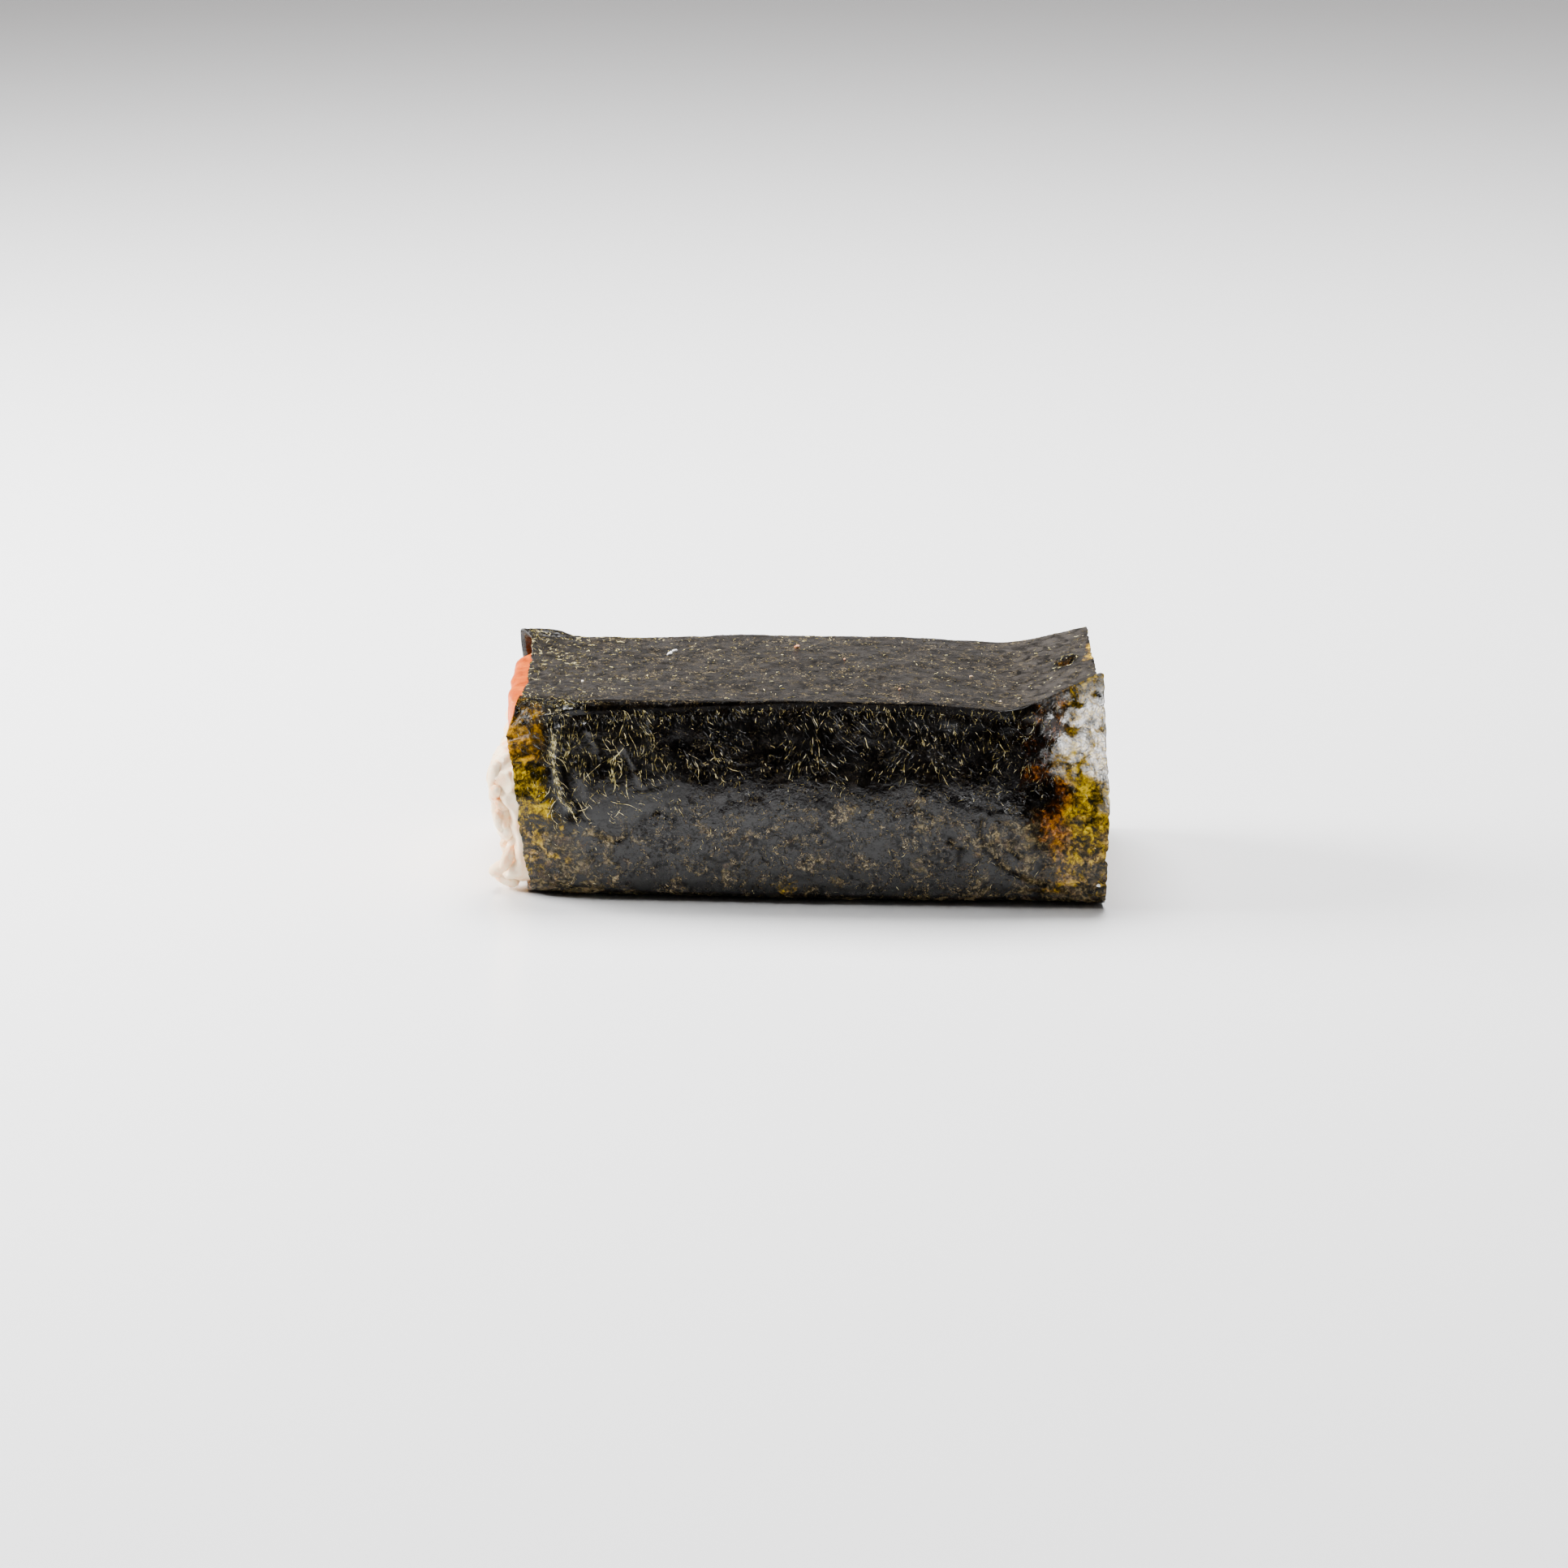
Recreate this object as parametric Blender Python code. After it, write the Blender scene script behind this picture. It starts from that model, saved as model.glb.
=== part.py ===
"""A luncheon meat musubi: a block of pressed rice under a fried slice of meat, in a band of nori.

Metres, +Z up. +X runs along the piece and -Y is its shown long side. The origin is the middle of the
box round it, on the surface that it lies on. The band is one sheet: it starts in the lap under the
rice, goes forward, up the front, over the top and down the back, and ends under its own start. At +X
it runs on past the filling as an empty mouth, whose front wall leans back below an upturned flap.
"""

import math
import random

import bmesh
import bpy
import numpy as np
from mathutils import Euler, Matrix, Vector

MM = 0.001

# The band of nori
SHEET_THICKNESS = 0.5 * MM
LAP_GAP = 0.3 * MM
LAP_INNER_END = 12.0 * MM
LAP_OUTER_END = -8.0 * MM
LAP_RAMP = 4.0 * MM
ROWS_ALONG = 30
STRAIGHT_STEPS = (4, 5, 6, 9, 5, 6, 5)
ARC_STEPS = 3
EASE = 3.0 * MM

# The filling, with the grains that stray under its front left foot as (x, y, heading in degrees)
FILLING_GAP = 0.35 * MM
MEAT_LEFT = -52.7 * MM
MEAT_RIGHT = 42.0 * MM
MEAT_THICKNESS = 9.3 * MM
MEAT_HALF_WIDTH = 21.3 * MM
MEAT_CORNERS = (9.5 * MM, 8.5 * MM, 13.0 * MM, 10.0 * MM)
MEAT_EDGE = 1.6 * MM
SCALLOP_DEPTH = 0.5 * MM
SCALLOPS = 19
RICE_LEFT = -53.3 * MM
RICE_LEAN = 2.6 * MM
RICE_LEAN_HEIGHT = 20.0 * MM
RICE_RIGHT = 41.0 * MM
RICE_FLOOR = 1.75 * MM
RICE_END_ROUNDING = 3.5 * MM
GRAIN_LENGTH = 6.4 * MM
GRAIN_WIDTH = 2.9 * MM
GRAIN_PITCH = (5.0 * MM, 3.5 * MM)
LEFT_EXTREME = -55.5 * MM
FOOT_GRAINS = ((-52.2, -12.0, 75.0), (-51.4, -16.3, 40.0), (-50.9, -19.6, -35.0))
FOOT_GRAIN_Z = 2.4 * MM

# Places along X where the band's section is given, and the section there
STATIONS = np.array([-51.0, -38.0, 0.0, 24.0, 38.5, 56.0]) * MM
FOOT_Y = np.array([22.8, 24.2, 24.9, 24.9, 24.7, 24.6]) * MM
FOOT_ROUNDING = np.array([5.0, 4.5, 4.0, 4.0, 4.5, 4.0]) * MM
BELLY_Y = np.array([25.5, 26.2, 26.6, 26.4, 26.1, 25.4]) * MM
BELLY_Z = np.array([16.0, 18.0, 20.5, 20.0, 18.0, 20.0]) * MM
BELLY_ROUNDING = np.array([7.0, 7.0, 5.5, 6.0, 7.0, 7.0]) * MM
FRONT_TOP_Y = np.array([22.0, 22.4, 22.3, 22.2, 21.9, 8.3]) * MM
FRONT_TOP_Z = np.array([35.2, 35.8, 36.7, 36.5, 35.2, 39.6]) * MM
FRONT_TOP_ROUNDING = np.array([6.5, 4.2, 2.2, 3.0, 5.0, 1.4]) * MM
BACK_TOP_Y = np.array([22.4, 22.6, 23.2, 23.0, 22.6, 22.5]) * MM
BACK_TOP_Z = np.array([35.5, 36.3, 37.3, 36.9, 35.6, 40.4]) * MM
BACK_TOP_ROUNDING = np.array([2.6, 2.6, 3.0, 3.0, 2.4, 2.2]) * MM

# Where the sheet's two cut edges lie along X, at places along the sheet
EDGE_PLACES = np.array([0.0, 0.9, 1.5, 3.5, 5.5, 6.2, 6.8, 7.5, 9.5, 11.5, 13.0])
LEFT_EDGE = np.array([-54.2, -48.4, -46.8, -48.9, -49.8, -48.9, -49.9, -52.2, -51.0, -51.6, -53.4]) * MM
RIGHT_EDGE = np.array([52.0, 54.6, 55.6, 56.0, 54.2, 53.2, 52.2, 51.6, 53.6, 53.4, 52.6]) * MM

# The upturned curl at the back left corner of the top
CURL_X = -51.5 * MM
CURL_REACH = 6.0 * MM
CURL_PLACE = 7.5
CURL_SPREAD = 0.55
CURL_LIFT = 2.4 * MM


def eased(x, values):
    """A value given at the stations, read at x, with the kinks at the stations eased."""
    offsets = np.linspace(-EASE, EASE, 7)
    return np.mean([np.interp(x + offset, STATIONS, values) for offset in offsets], axis=0)


def section_corners(x):
    """The eight corners (y, z, rounding) of the band's section at each x, in the order of the sheet."""
    zero = np.zeros_like(x)
    foot, belly = eased(x, FOOT_Y), eased(x, BELLY_Y)
    foot_rounding, belly_rounding = eased(x, FOOT_ROUNDING), eased(x, BELLY_ROUNDING)
    belly_z = eased(x, BELLY_Z)
    front = (-eased(x, FRONT_TOP_Y), eased(x, FRONT_TOP_Z), eased(x, FRONT_TOP_ROUNDING))
    back = (eased(x, BACK_TOP_Y), eased(x, BACK_TOP_Z), eased(x, BACK_TOP_ROUNDING))
    corners = [
        (zero + LAP_INNER_END, zero, zero),
        (-foot, zero, foot_rounding),
        (-belly, belly_z, belly_rounding),
        front,
        back,
        (belly, belly_z, belly_rounding),
        (foot, zero, foot_rounding),
        (zero + LAP_OUTER_END, zero, zero),
    ]
    return np.stack([np.stack(corner, axis=-1) for corner in corners], axis=-2)


def band_point(x, place):
    """The band's outer face at x and at a place along the sheet, from 0 at its inner end to 13.

    From an even whole number the sheet is straight, and from an odd one it rounds a corner on a
    quadratic curve that starts and ends one rounding away from the corner.
    """
    corners = section_corners(x)
    piece = np.clip(np.floor(place), 0, 12).astype(int)
    t = (place - piece)[..., None]
    on_arc = (piece % 2 == 1)[..., None]

    def corner(number):
        number = np.clip(number, 0, 7)
        picked = np.take_along_axis(corners, number[..., None, None], axis=-2)[..., 0, :]
        return picked[..., :2], picked[..., 2:]

    def toward(start, end, distance):
        step = end - start
        return start + step / np.maximum(np.linalg.norm(step, axis=-1, keepdims=True), 1e-9) * distance

    here = (piece + 1) // 2
    middle, rounding = corner(here)
    before, _ = corner(here - 1)
    after, after_rounding = corner(here + 1)
    leaves = toward(middle, after, rounding)
    straight = leaves + (toward(after, middle, after_rounding) - leaves) * t
    arrives = toward(middle, before, rounding)
    arc = arrives * (1 - t) ** 2 + middle * 2 * t * (1 - t) + leaves * t**2
    yz = np.where(on_arc, arc, straight)
    return np.stack([x, yz[..., 0], yz[..., 1]], axis=-1)


def lap_lift(y):
    """How far the inner layer stands up over the sheet's outer end, at y under the filling."""
    rise = np.clip((y - LAP_OUTER_END) / LAP_RAMP + 1.5, 0, 1)
    return (SHEET_THICKNESS + LAP_GAP) * rise * rise * (3 - 2 * rise)


def band_surface(along, place):
    """The band's outer face, with along from 0 at its left cut edge to 1 at its right one."""
    left = np.interp(place, EDGE_PLACES, LEFT_EDGE)
    right = np.interp(place, EDGE_PLACES, RIGHT_EDGE)
    points = band_point(left + (right - left) * along, place)
    points[..., 2] += np.where(place < 1, lap_lift(points[..., 1]), 0)
    near_end = np.exp(-(np.maximum(points[..., 0] - CURL_X, 0) / CURL_REACH) ** 2)
    near_corner = np.exp(-(((place - CURL_PLACE) / CURL_SPREAD) ** 2))
    points[..., 2] += CURL_LIFT * near_end * near_corner
    return points


def sheet_places():
    """Places along the sheet: a few on each straight part and on each corner."""
    places = []
    for number, steps in enumerate(STRAIGHT_STEPS):
        places.extend(2 * number + np.arange(steps) / steps)
        if number < 6:
            places.extend(2 * number + 1 + np.arange(ARC_STEPS) / ARC_STEPS)
    return np.array(places + [13.0])


def band_inside(x, heights, side):
    """How far from the middle the band's inner face is at x and the heights, toward -Y (-1) or +Y."""
    places = np.linspace(1, 5.5, 60) if side < 0 else np.linspace(12, 7.5, 60)
    wall = band_point(np.full(60, x), places)
    return abs(np.interp(heights, wall[:, 2], wall[:, 1])) - SHEET_THICKNESS


def meat_top(x):
    """Height of the slice's top face at x: under the band, and level past the band's last dip."""
    x = np.minimum(x, STATIONS[4])
    under_band = np.minimum(eased(x, FRONT_TOP_Z), eased(x, BACK_TOP_Z)) - SHEET_THICKNESS
    return under_band - 1.5 * FILLING_GAP


def material(name, colour, roughness):
    made = bpy.data.materials.new(name)
    made.use_nodes = True
    shader = made.node_tree.nodes["Principled BSDF"]
    shader.inputs["Base Color"].default_value = (*colour, 1.0)
    shader.inputs["Roughness"].default_value = roughness
    shader.inputs["Metallic"].default_value = 0.0
    return made


def mesh_object(name, points, faces, look):
    mesh = bpy.data.meshes.new(name)
    mesh.from_pydata([tuple(point) for point in points], [], faces)
    mesh.materials.append(look)
    mesh.shade_smooth()
    made = bpy.data.objects.new(name, mesh)
    bpy.context.collection.objects.link(made)
    return made


def grid_faces(rows, columns, closed=False):
    """Quads of a grid of points stored row by row; closed joins each row's end to its start."""
    faces = []
    for row in range(rows - 1):
        for column in range(columns if closed else columns - 1):
            after = (column + 1) % columns
            a, b = row * columns + column, row * columns + after
            faces.append((a, b, b + columns, a + columns))
    return faces


def make_band():
    """The nori: one sheet wrapped round the filling, thickened inward."""
    places = sheet_places()
    along = np.linspace(0, 1, ROWS_ALONG)
    points = band_surface(*np.meshgrid(along, places, indexing="ij"))
    faces = [tuple(reversed(face)) for face in grid_faces(len(along), len(places))]
    look = material("nori", (0.02, 0.022, 0.012), 0.35)
    band = mesh_object("nori_wrap", points.reshape(-1, 3), faces, look)
    thicken = band.modifiers.new("thickness", "SOLIDIFY")
    thicken.thickness = SHEET_THICKNESS
    thicken.offset = -1.0
    thicken.use_even_offset = True
    return band


def slice_outline(inset):
    """The slice's border seen from above: a rectangle with round corners and a scalloped edge."""
    half_length = (MEAT_RIGHT - MEAT_LEFT) / 2
    centre = (MEAT_RIGHT + MEAT_LEFT) / 2
    points = []
    for quarter in range(4):
        turn = math.radians(90 * quarter)
        side_x = 1 if quarter in (0, 3) else -1
        side_y = 1 if quarter in (0, 1) else -1
        radius = MEAT_CORNERS[quarter]
        middle = Vector((side_x * (half_length - radius), side_y * (MEAT_HALF_WIDTH - radius)))
        for step in range(7):
            angle = turn + math.radians(15) * step
            points.append(middle + (radius - inset) * Vector((math.cos(angle), math.sin(angle))))
    full = []
    for a, b in zip(points, points[1:] + points[:1]):
        pieces = max(1, round((b - a).length / (3.6 * MM)))
        full.extend(a.lerp(b, piece / pieces) for piece in range(pieces))
    wavy = []
    for point in full:
        angle = math.atan2(point.y, point.x)
        wave = math.sin(SCALLOPS * angle) * math.sin(7 * angle + 0.8)
        wavy.append(point - point.normalized() * SCALLOP_DEPTH * (0.5 + 0.5 * wave))
    return [(point.x + centre, point.y) for point in wavy]


def make_meat():
    """The slice: a flat slab of rings, cut across in strips, then bent to the arch of its top."""
    rings = []
    for step in range(3):
        angle = math.radians(45) * step
        rings.append((MEAT_EDGE * (1 - math.sin(angle)), MEAT_EDGE * (1 - math.cos(angle))))
    profile = rings + [(inset, MEAT_THICKNESS - rise) for inset, rise in reversed(rings)]
    points = []
    for inset, height in profile:
        points.extend((x, y, height - MEAT_THICKNESS) for x, y in slice_outline(inset))
    count = len(slice_outline(0.0))
    faces = grid_faces(len(profile), count, closed=True)
    faces.append(tuple(reversed(range(count))))
    faces.append(tuple(range((len(profile) - 1) * count, len(profile) * count)))
    look = material("fried luncheon meat", (0.72, 0.24, 0.10), 0.4)
    meat = mesh_object("luncheon_meat", points, faces, look)
    shape = bmesh.new()
    shape.from_mesh(meat.data)
    for x in np.linspace(MEAT_LEFT, MEAT_RIGHT, 16)[1:-1]:
        everything = shape.verts[:] + shape.edges[:] + shape.faces[:]
        bmesh.ops.bisect_plane(shape, geom=everything, dist=0.02 * MM, plane_co=(x, 0, 0), plane_no=(1, 0, 0))
    for vertex in shape.verts:
        vertex.co.z += float(meat_top(np.array(vertex.co.x)))
    shape.to_mesh(meat.data)
    shape.free()
    return meat


def rice_limits(x):
    """The block's half widths and top at x, clear of the band and of the slice."""
    top = float(meat_top(np.array(x))) - MEAT_THICKNESS - FILLING_GAP
    heights = np.array([RICE_FLOOR, 7 * MM, 14 * MM, 20 * MM, top])
    widths = [band_inside(x, heights, side) - FILLING_GAP for side in (-1, 1)]
    return heights, np.array(widths)


def rice_core_section(x, inset):
    """The block's section at x as a loop of (y, z), seen from +X, drawn in by the inset."""
    heights, widths = rice_limits(x)
    widths = widths - inset
    heights = np.array(heights)
    heights[0] += inset
    heights[-1] -= inset
    widths[:, 0] = widths[:, 1] - 1.5 * MM
    widths[:, -1] -= 0.7 * MM
    floor = [(y, heights[0]) for y in np.linspace(-widths[0, 0], widths[1, 0], 6)[1:-1]]
    right = list(zip(widths[1], heights))
    top = [(y, heights[-1]) for y in np.linspace(widths[1, -1], -widths[0, -1], 6)[1:-1]]
    left = [(-width, height) for width, height in zip(widths[0][::-1], heights[::-1])]
    return floor + right + top + left


def left_end_lean(x, z):
    """How far the left end's foot is drawn in under its upper half, at x and z."""
    near_end = max(0.0, 1 - (x - RICE_LEFT) / (8 * MM))
    return RICE_LEAN * near_end * (1 - np.clip(z / RICE_LEAN_HEIGHT, 0, 1))


def make_rice_core(look):
    """The bare block: sections along X, drawn in toward both ends so that its ends are rounded."""
    stations = []
    for step in range(4):
        angle = math.radians(90) * step / 3
        inset = RICE_END_ROUNDING * (1 - math.sin(angle))
        stations.append((RICE_LEFT + RICE_END_ROUNDING * (1 - math.cos(angle)), inset))
    middle = np.linspace(stations[-1][0], RICE_RIGHT - RICE_END_ROUNDING, 8)[1:-1]
    right = [(RICE_RIGHT - (x - RICE_LEFT), inset) for x, inset in reversed(stations)]
    stations += [(x, 0.0) for x in middle] + right
    points = []
    for x, inset in stations:
        section = rice_core_section(x, inset)
        points.extend((x + left_end_lean(x, z), y, z) for y, z in section)
    count = len(rice_core_section(0.0, 0.0))
    faces = grid_faces(len(stations), count, closed=True)
    faces.append(tuple(reversed(range(count))))
    faces.append(tuple(range((len(stations) - 1) * count, len(stations) * count)))
    return mesh_object("rice_block", points, faces, look)


def grain_places(end_x, outward, rng):
    """Centres and turns of the grains that show on one end of the block."""
    heights, widths = rice_limits(end_x - outward * RICE_END_ROUNDING)
    rows = int((heights[-1] - heights[0]) / GRAIN_PITCH[1])
    for row in range(rows):
        z = heights[0] + GRAIN_PITCH[1] * (row + 0.55)
        reach = np.interp(z, heights, widths.min(axis=0)) - 2.2 * MM
        columns = int(2 * reach / GRAIN_PITCH[0])
        for column in range(columns + 1):
            y = -reach + 2 * reach * (column + 0.25 * (row % 2)) / (columns + 0.25)
            x = end_x + outward * rng.uniform(-0.9, 0.6) * MM
            if outward < 0:
                x += left_end_lean(end_x, z)
            turn = Euler((rng.uniform(-0.9, 0.9), rng.uniform(-0.5, 0.5), rng.uniform(-0.35, 0.35)))
            yield Vector((x, y, z + rng.uniform(-0.5, 0.5) * MM)), turn


def make_grain(place, turn, number):
    """One cooked grain: a six-sided ellipsoid with blunt ends, lying along its turned Y axis."""
    mesh = bpy.data.meshes.new(f"grain_{number}")
    shape = bmesh.new()
    bmesh.ops.create_uvsphere(shape, u_segments=6, v_segments=4, radius=0.5)
    for vertex in shape.verts:
        blunt = 1.18 if 0.1 < abs(vertex.co.z) < 0.45 else 1.0
        vertex.co.x *= blunt
        vertex.co.y *= blunt
    size = Matrix.Diagonal((GRAIN_WIDTH, GRAIN_WIDTH, GRAIN_LENGTH, 1.0))
    lay_down = Matrix.Rotation(math.radians(90), 4, "X")
    bmesh.ops.transform(shape, verts=shape.verts, matrix=turn.to_matrix().to_4x4() @ lay_down @ size)
    shape.to_mesh(mesh)
    shape.free()
    mesh.transform(Matrix.Translation(place))
    return bpy.data.objects.new(f"grain_{number}", mesh)


def grain_fits(grain, place):
    """Whether a grain keeps clear of the band, the slice and the floor, and short of the left extreme."""
    heights, widths = rice_limits(min(max(place.x, MEAT_LEFT), RICE_RIGHT))
    for vertex in grain.data.vertices:
        x, y, z = vertex.co
        side = widths[0] if y < 0 else widths[1]
        if x < LEFT_EXTREME or not heights[0] - 0.4 * MM < z < heights[-1]:
            return False
        if abs(y) > np.interp(z, heights, side):
            return False
    return True


def make_rice():
    """The block with its end grains fused on by one union."""
    look = material("cooked rice", (0.80, 0.74, 0.66), 0.3)
    core = make_rice_core(look)
    rng = random.Random(5)
    grains = bpy.data.collections.new("grains")
    bpy.context.scene.collection.children.link(grains)
    number = 0
    for end_x, outward in ((RICE_LEFT, -1), (RICE_RIGHT, 1)):
        for place, turn in grain_places(end_x, outward, rng):
            grain = make_grain(place, turn, number)
            if not grain_fits(grain, place):
                bpy.data.meshes.remove(grain.data)
                continue
            grains.objects.link(grain)
            number += 1
    for x, y, heading in FOOT_GRAINS:
        turn = Euler((0.0, 0.0, math.radians(heading)))
        grains.objects.link(make_grain(Vector((x * MM, y * MM, FOOT_GRAIN_Z)), turn, number))
        number += 1
    union = core.modifiers.new("grains", "BOOLEAN")
    union.operation = "UNION"
    union.operand_type = "COLLECTION"
    union.collection = grains
    union.solver = "EXACT"
    union.use_self = False
    bpy.context.view_layer.update()
    fused = bpy.data.meshes.new_from_object(core.evaluated_get(bpy.context.evaluated_depsgraph_get()))
    core.modifiers.clear()
    core.data = fused
    for grain in list(grains.objects):
        bpy.data.objects.remove(grain)
    bpy.data.collections.remove(grains)
    keep_outer_body(core)
    return core


def keep_outer_body(block):
    """Drop loose scraps and sealed hollows: only the largest connected shell stays."""
    shape = bmesh.new()
    shape.from_mesh(block.data)
    shells = []
    waiting = set(shape.verts)
    while waiting:
        front = [waiting.pop()]
        shell = set(front)
        while front:
            for edge in front.pop().link_edges:
                for vertex in edge.verts:
                    if vertex not in shell:
                        shell.add(vertex)
                        front.append(vertex)
        waiting -= shell
        shells.append(shell)
    largest = max(shells, key=len)
    bmesh.ops.delete(shape, geom=[v for v in shape.verts if v not in largest], context="VERTS")
    shape.to_mesh(block.data)
    shape.free()


def main():
    for old in list(bpy.data.objects):
        bpy.data.objects.remove(old)
    make_band()
    make_meat()
    make_rice()


main()
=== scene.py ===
"""A luncheon meat musubi: pressed rice under a fried slice of meat, wrapped in a band of nori.

Metres, +Z up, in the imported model's frame: +X runs along the piece and -Y is its shown long side.
The nori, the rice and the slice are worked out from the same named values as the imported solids, and
carry the wrinkles, fibres, grains and crumbs that those leave out.
"""

import math

import bmesh
import bpy
import numpy as np
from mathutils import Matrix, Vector


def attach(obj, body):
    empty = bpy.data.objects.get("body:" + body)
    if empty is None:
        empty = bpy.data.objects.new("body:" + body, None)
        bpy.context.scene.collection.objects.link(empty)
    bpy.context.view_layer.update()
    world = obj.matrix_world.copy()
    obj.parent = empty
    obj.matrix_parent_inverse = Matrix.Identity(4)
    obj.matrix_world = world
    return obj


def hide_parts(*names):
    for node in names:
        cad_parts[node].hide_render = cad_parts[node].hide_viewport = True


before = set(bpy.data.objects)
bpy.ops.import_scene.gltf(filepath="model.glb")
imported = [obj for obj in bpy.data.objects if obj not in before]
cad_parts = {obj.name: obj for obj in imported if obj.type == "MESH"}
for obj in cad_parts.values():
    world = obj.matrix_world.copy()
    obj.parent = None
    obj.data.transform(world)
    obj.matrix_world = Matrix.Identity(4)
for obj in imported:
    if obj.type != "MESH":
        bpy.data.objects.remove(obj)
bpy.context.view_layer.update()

MM = 0.001

# The band of nori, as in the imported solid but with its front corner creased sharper, and its true thickness
CAD_THICKNESS = 0.5 * MM
SHEET_THICKNESS = 0.26 * MM
LAP_GAP = 0.3 * MM
LAP_INNER_END = 12.0 * MM
LAP_OUTER_END = -8.0 * MM
LAP_RAMP = 4.0 * MM
EASE = 3.0 * MM
STATIONS = np.array([-51.0, -38.0, 0.0, 24.0, 38.5, 56.0]) * MM
FOOT_Y = np.array([22.8, 24.2, 24.9, 24.9, 24.7, 24.6]) * MM
FOOT_ROUNDING = np.array([5.0, 4.5, 4.0, 4.0, 4.5, 4.0]) * MM
BELLY_Y = np.array([25.5, 26.2, 26.6, 26.4, 26.1, 25.4]) * MM
BELLY_Z = np.array([16.0, 18.0, 20.5, 20.0, 18.0, 20.0]) * MM
BELLY_ROUNDING = np.array([7.0, 7.0, 5.5, 6.0, 7.0, 7.0]) * MM
FRONT_TOP_Y = np.array([22.0, 22.4, 22.3, 22.2, 21.9, 8.3]) * MM
FRONT_TOP_Z = np.array([35.2, 35.8, 36.7, 36.5, 35.2, 39.6]) * MM
FRONT_TOP_ROUNDING = np.array([5.6, 1.8, 0.4, 0.35, 0.3, 0.3]) * MM
BACK_TOP_Y = np.array([22.4, 22.6, 23.2, 23.0, 22.6, 22.5]) * MM
BACK_TOP_Z = np.array([35.5, 36.3, 37.3, 37.0, 36.4, 40.4]) * MM
BACK_TOP_ROUNDING = np.array([2.6, 2.6, 3.0, 3.0, 2.4, 2.2]) * MM
EDGE_PLACES = np.array([0.0, 0.9, 1.5, 3.5, 4.95, 5.5, 6.2, 6.8, 7.5, 9.5, 11.5, 13.0])
LEFT_EDGE = MM * np.array([
    -54.2, -48.4, -46.8, -48.9, -50.9, -49.6, -48.8, -49.8, -53.4, -51.4, -51.6, -53.4])
RIGHT_EDGE = MM * np.array([
    52.0, 54.6, 55.6, 56.0, 54.7, 54.2, 53.2, 52.2, 51.6, 53.6, 53.4, 52.6])
CURL_X = -51.5 * MM
CURL_REACH = 6.0 * MM
CURL_PLACE = 7.5
CURL_SPREAD = 0.55
CURL_LIFT = 2.4 * MM

# Steps of the fine sheet: along X in its left end, middle and right end, and on each part round it
STEPS_ALONG = ((12.0, 36), (77.0, 157), (16.0, 56))
STEPS_ROUND = (22, 14, 32, 32, 34, 14, 80, 10, 13, 13, 12, 8, 22)
INNER_STEP = 3
SHEET_VALUES = ("glow", "amber", "crisp", "mottled", "dulled", "shade", "sheen", "matte_with_painted_sheen")
TOOTH_PITCH = 1.6 * MM
TOOTH_DEPTH = 0.34 * MM

# The slice of meat
FILLING_GAP = 0.35 * MM
MEAT_LEFT = -52.7 * MM
MEAT_RIGHT = 42.0 * MM
MEAT_THICKNESS = 9.3 * MM
MEAT_HALF_WIDTH = 21.3 * MM
MEAT_CORNERS = (9.5 * MM, 8.5 * MM, 17.0 * MM, 10.0 * MM)
MEAT_EDGE = 1.5 * MM
SCALLOP_DEPTH = 0.9 * MM
SCALLOPS = 19

# The block of rice
RICE_LEFT = -54.6 * MM
RICE_RIGHT = 41.0 * MM
RICE_FLOOR = 1.75 * MM
RICE_END_HEIGHTS = np.array([0.0, 2.0, 3.6, 4.6, 6.5, 10.5, 15.0, 19.5, 23.0, 26.0, 28.0]) * MM
RICE_END_SETBACK = np.array([3.8, 2.9, 2.6, 3.4, 4.8, 4.8, 3.6, 2.0, 0.3, 0.2, 0.9]) * MM
RICE_ROUNDING = 3.5 * MM
RICE_LIMIT = -55.6 * MM


# Helpers: noise, grids and meshes


def smooth_step(value, low, high):
    """0 below low and 1 above high, eased between them by 3t^2 - 2t^3."""
    t = np.clip((value - low) / (high - low), 0.0, 1.0)
    return t * t * (3 - 2 * t)


def step_mm(value, low, high):
    """The same eased step between two lengths in millimetres."""
    return smooth_step(value, low * MM, high * MM)


def between(value, rise, fall):
    """One inside, easing up over the rise and down over the fall, each a pair of limits."""
    return smooth_step(value, *rise) * (1 - smooth_step(value, *fall))


def past(value, line, before, after):
    """The eased step across a line, from some millimetres before it to some after it."""
    return smooth_step(value, line - before * MM, line + after * MM)


def bell(*spans):
    """exp(-sum of squares of gap / width), over spans of (value, middle in mm, width in mm)."""
    return np.exp(-sum(((value - middle * MM) / (width * MM)) ** 2 for value, middle, width in spans))


def cell_number(cells, seed):
    """A number from 0 to 1 for each whole-number cell, by mixing the bits of its coordinates."""
    mixed = np.full(cells.shape[:-1], seed * 7919 + 17, dtype=np.uint32)
    for axis in range(cells.shape[-1]):
        mixed = (mixed ^ cells[..., axis].astype(np.int64).astype(np.uint32)) * np.uint32(0x85EBCA6B)
        mixed = mixed ^ (mixed >> np.uint32(13))
        mixed = mixed * np.uint32(0xC2B2AE35)
        mixed = mixed ^ (mixed >> np.uint32(16))
    return mixed / 4294967296.0


def noise(points, size, seed):
    """Smooth noise from -1 to 1: numbers on a lattice of that size, blended with eased weights."""
    scaled = np.asarray(points) / size
    low = np.floor(scaled).astype(np.int64)
    t = scaled - low
    t = t * t * (3 - 2 * t)
    axes = scaled.shape[-1]
    total = np.zeros(scaled.shape[:-1])
    for corner in range(2**axes):
        offset = np.array([(corner >> axis) & 1 for axis in range(axes)])
        weight = np.prod(np.where(offset == 1, t, 1 - t), axis=-1)
        total += weight * cell_number(low + offset, seed)
    return total * 2 - 1


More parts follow.
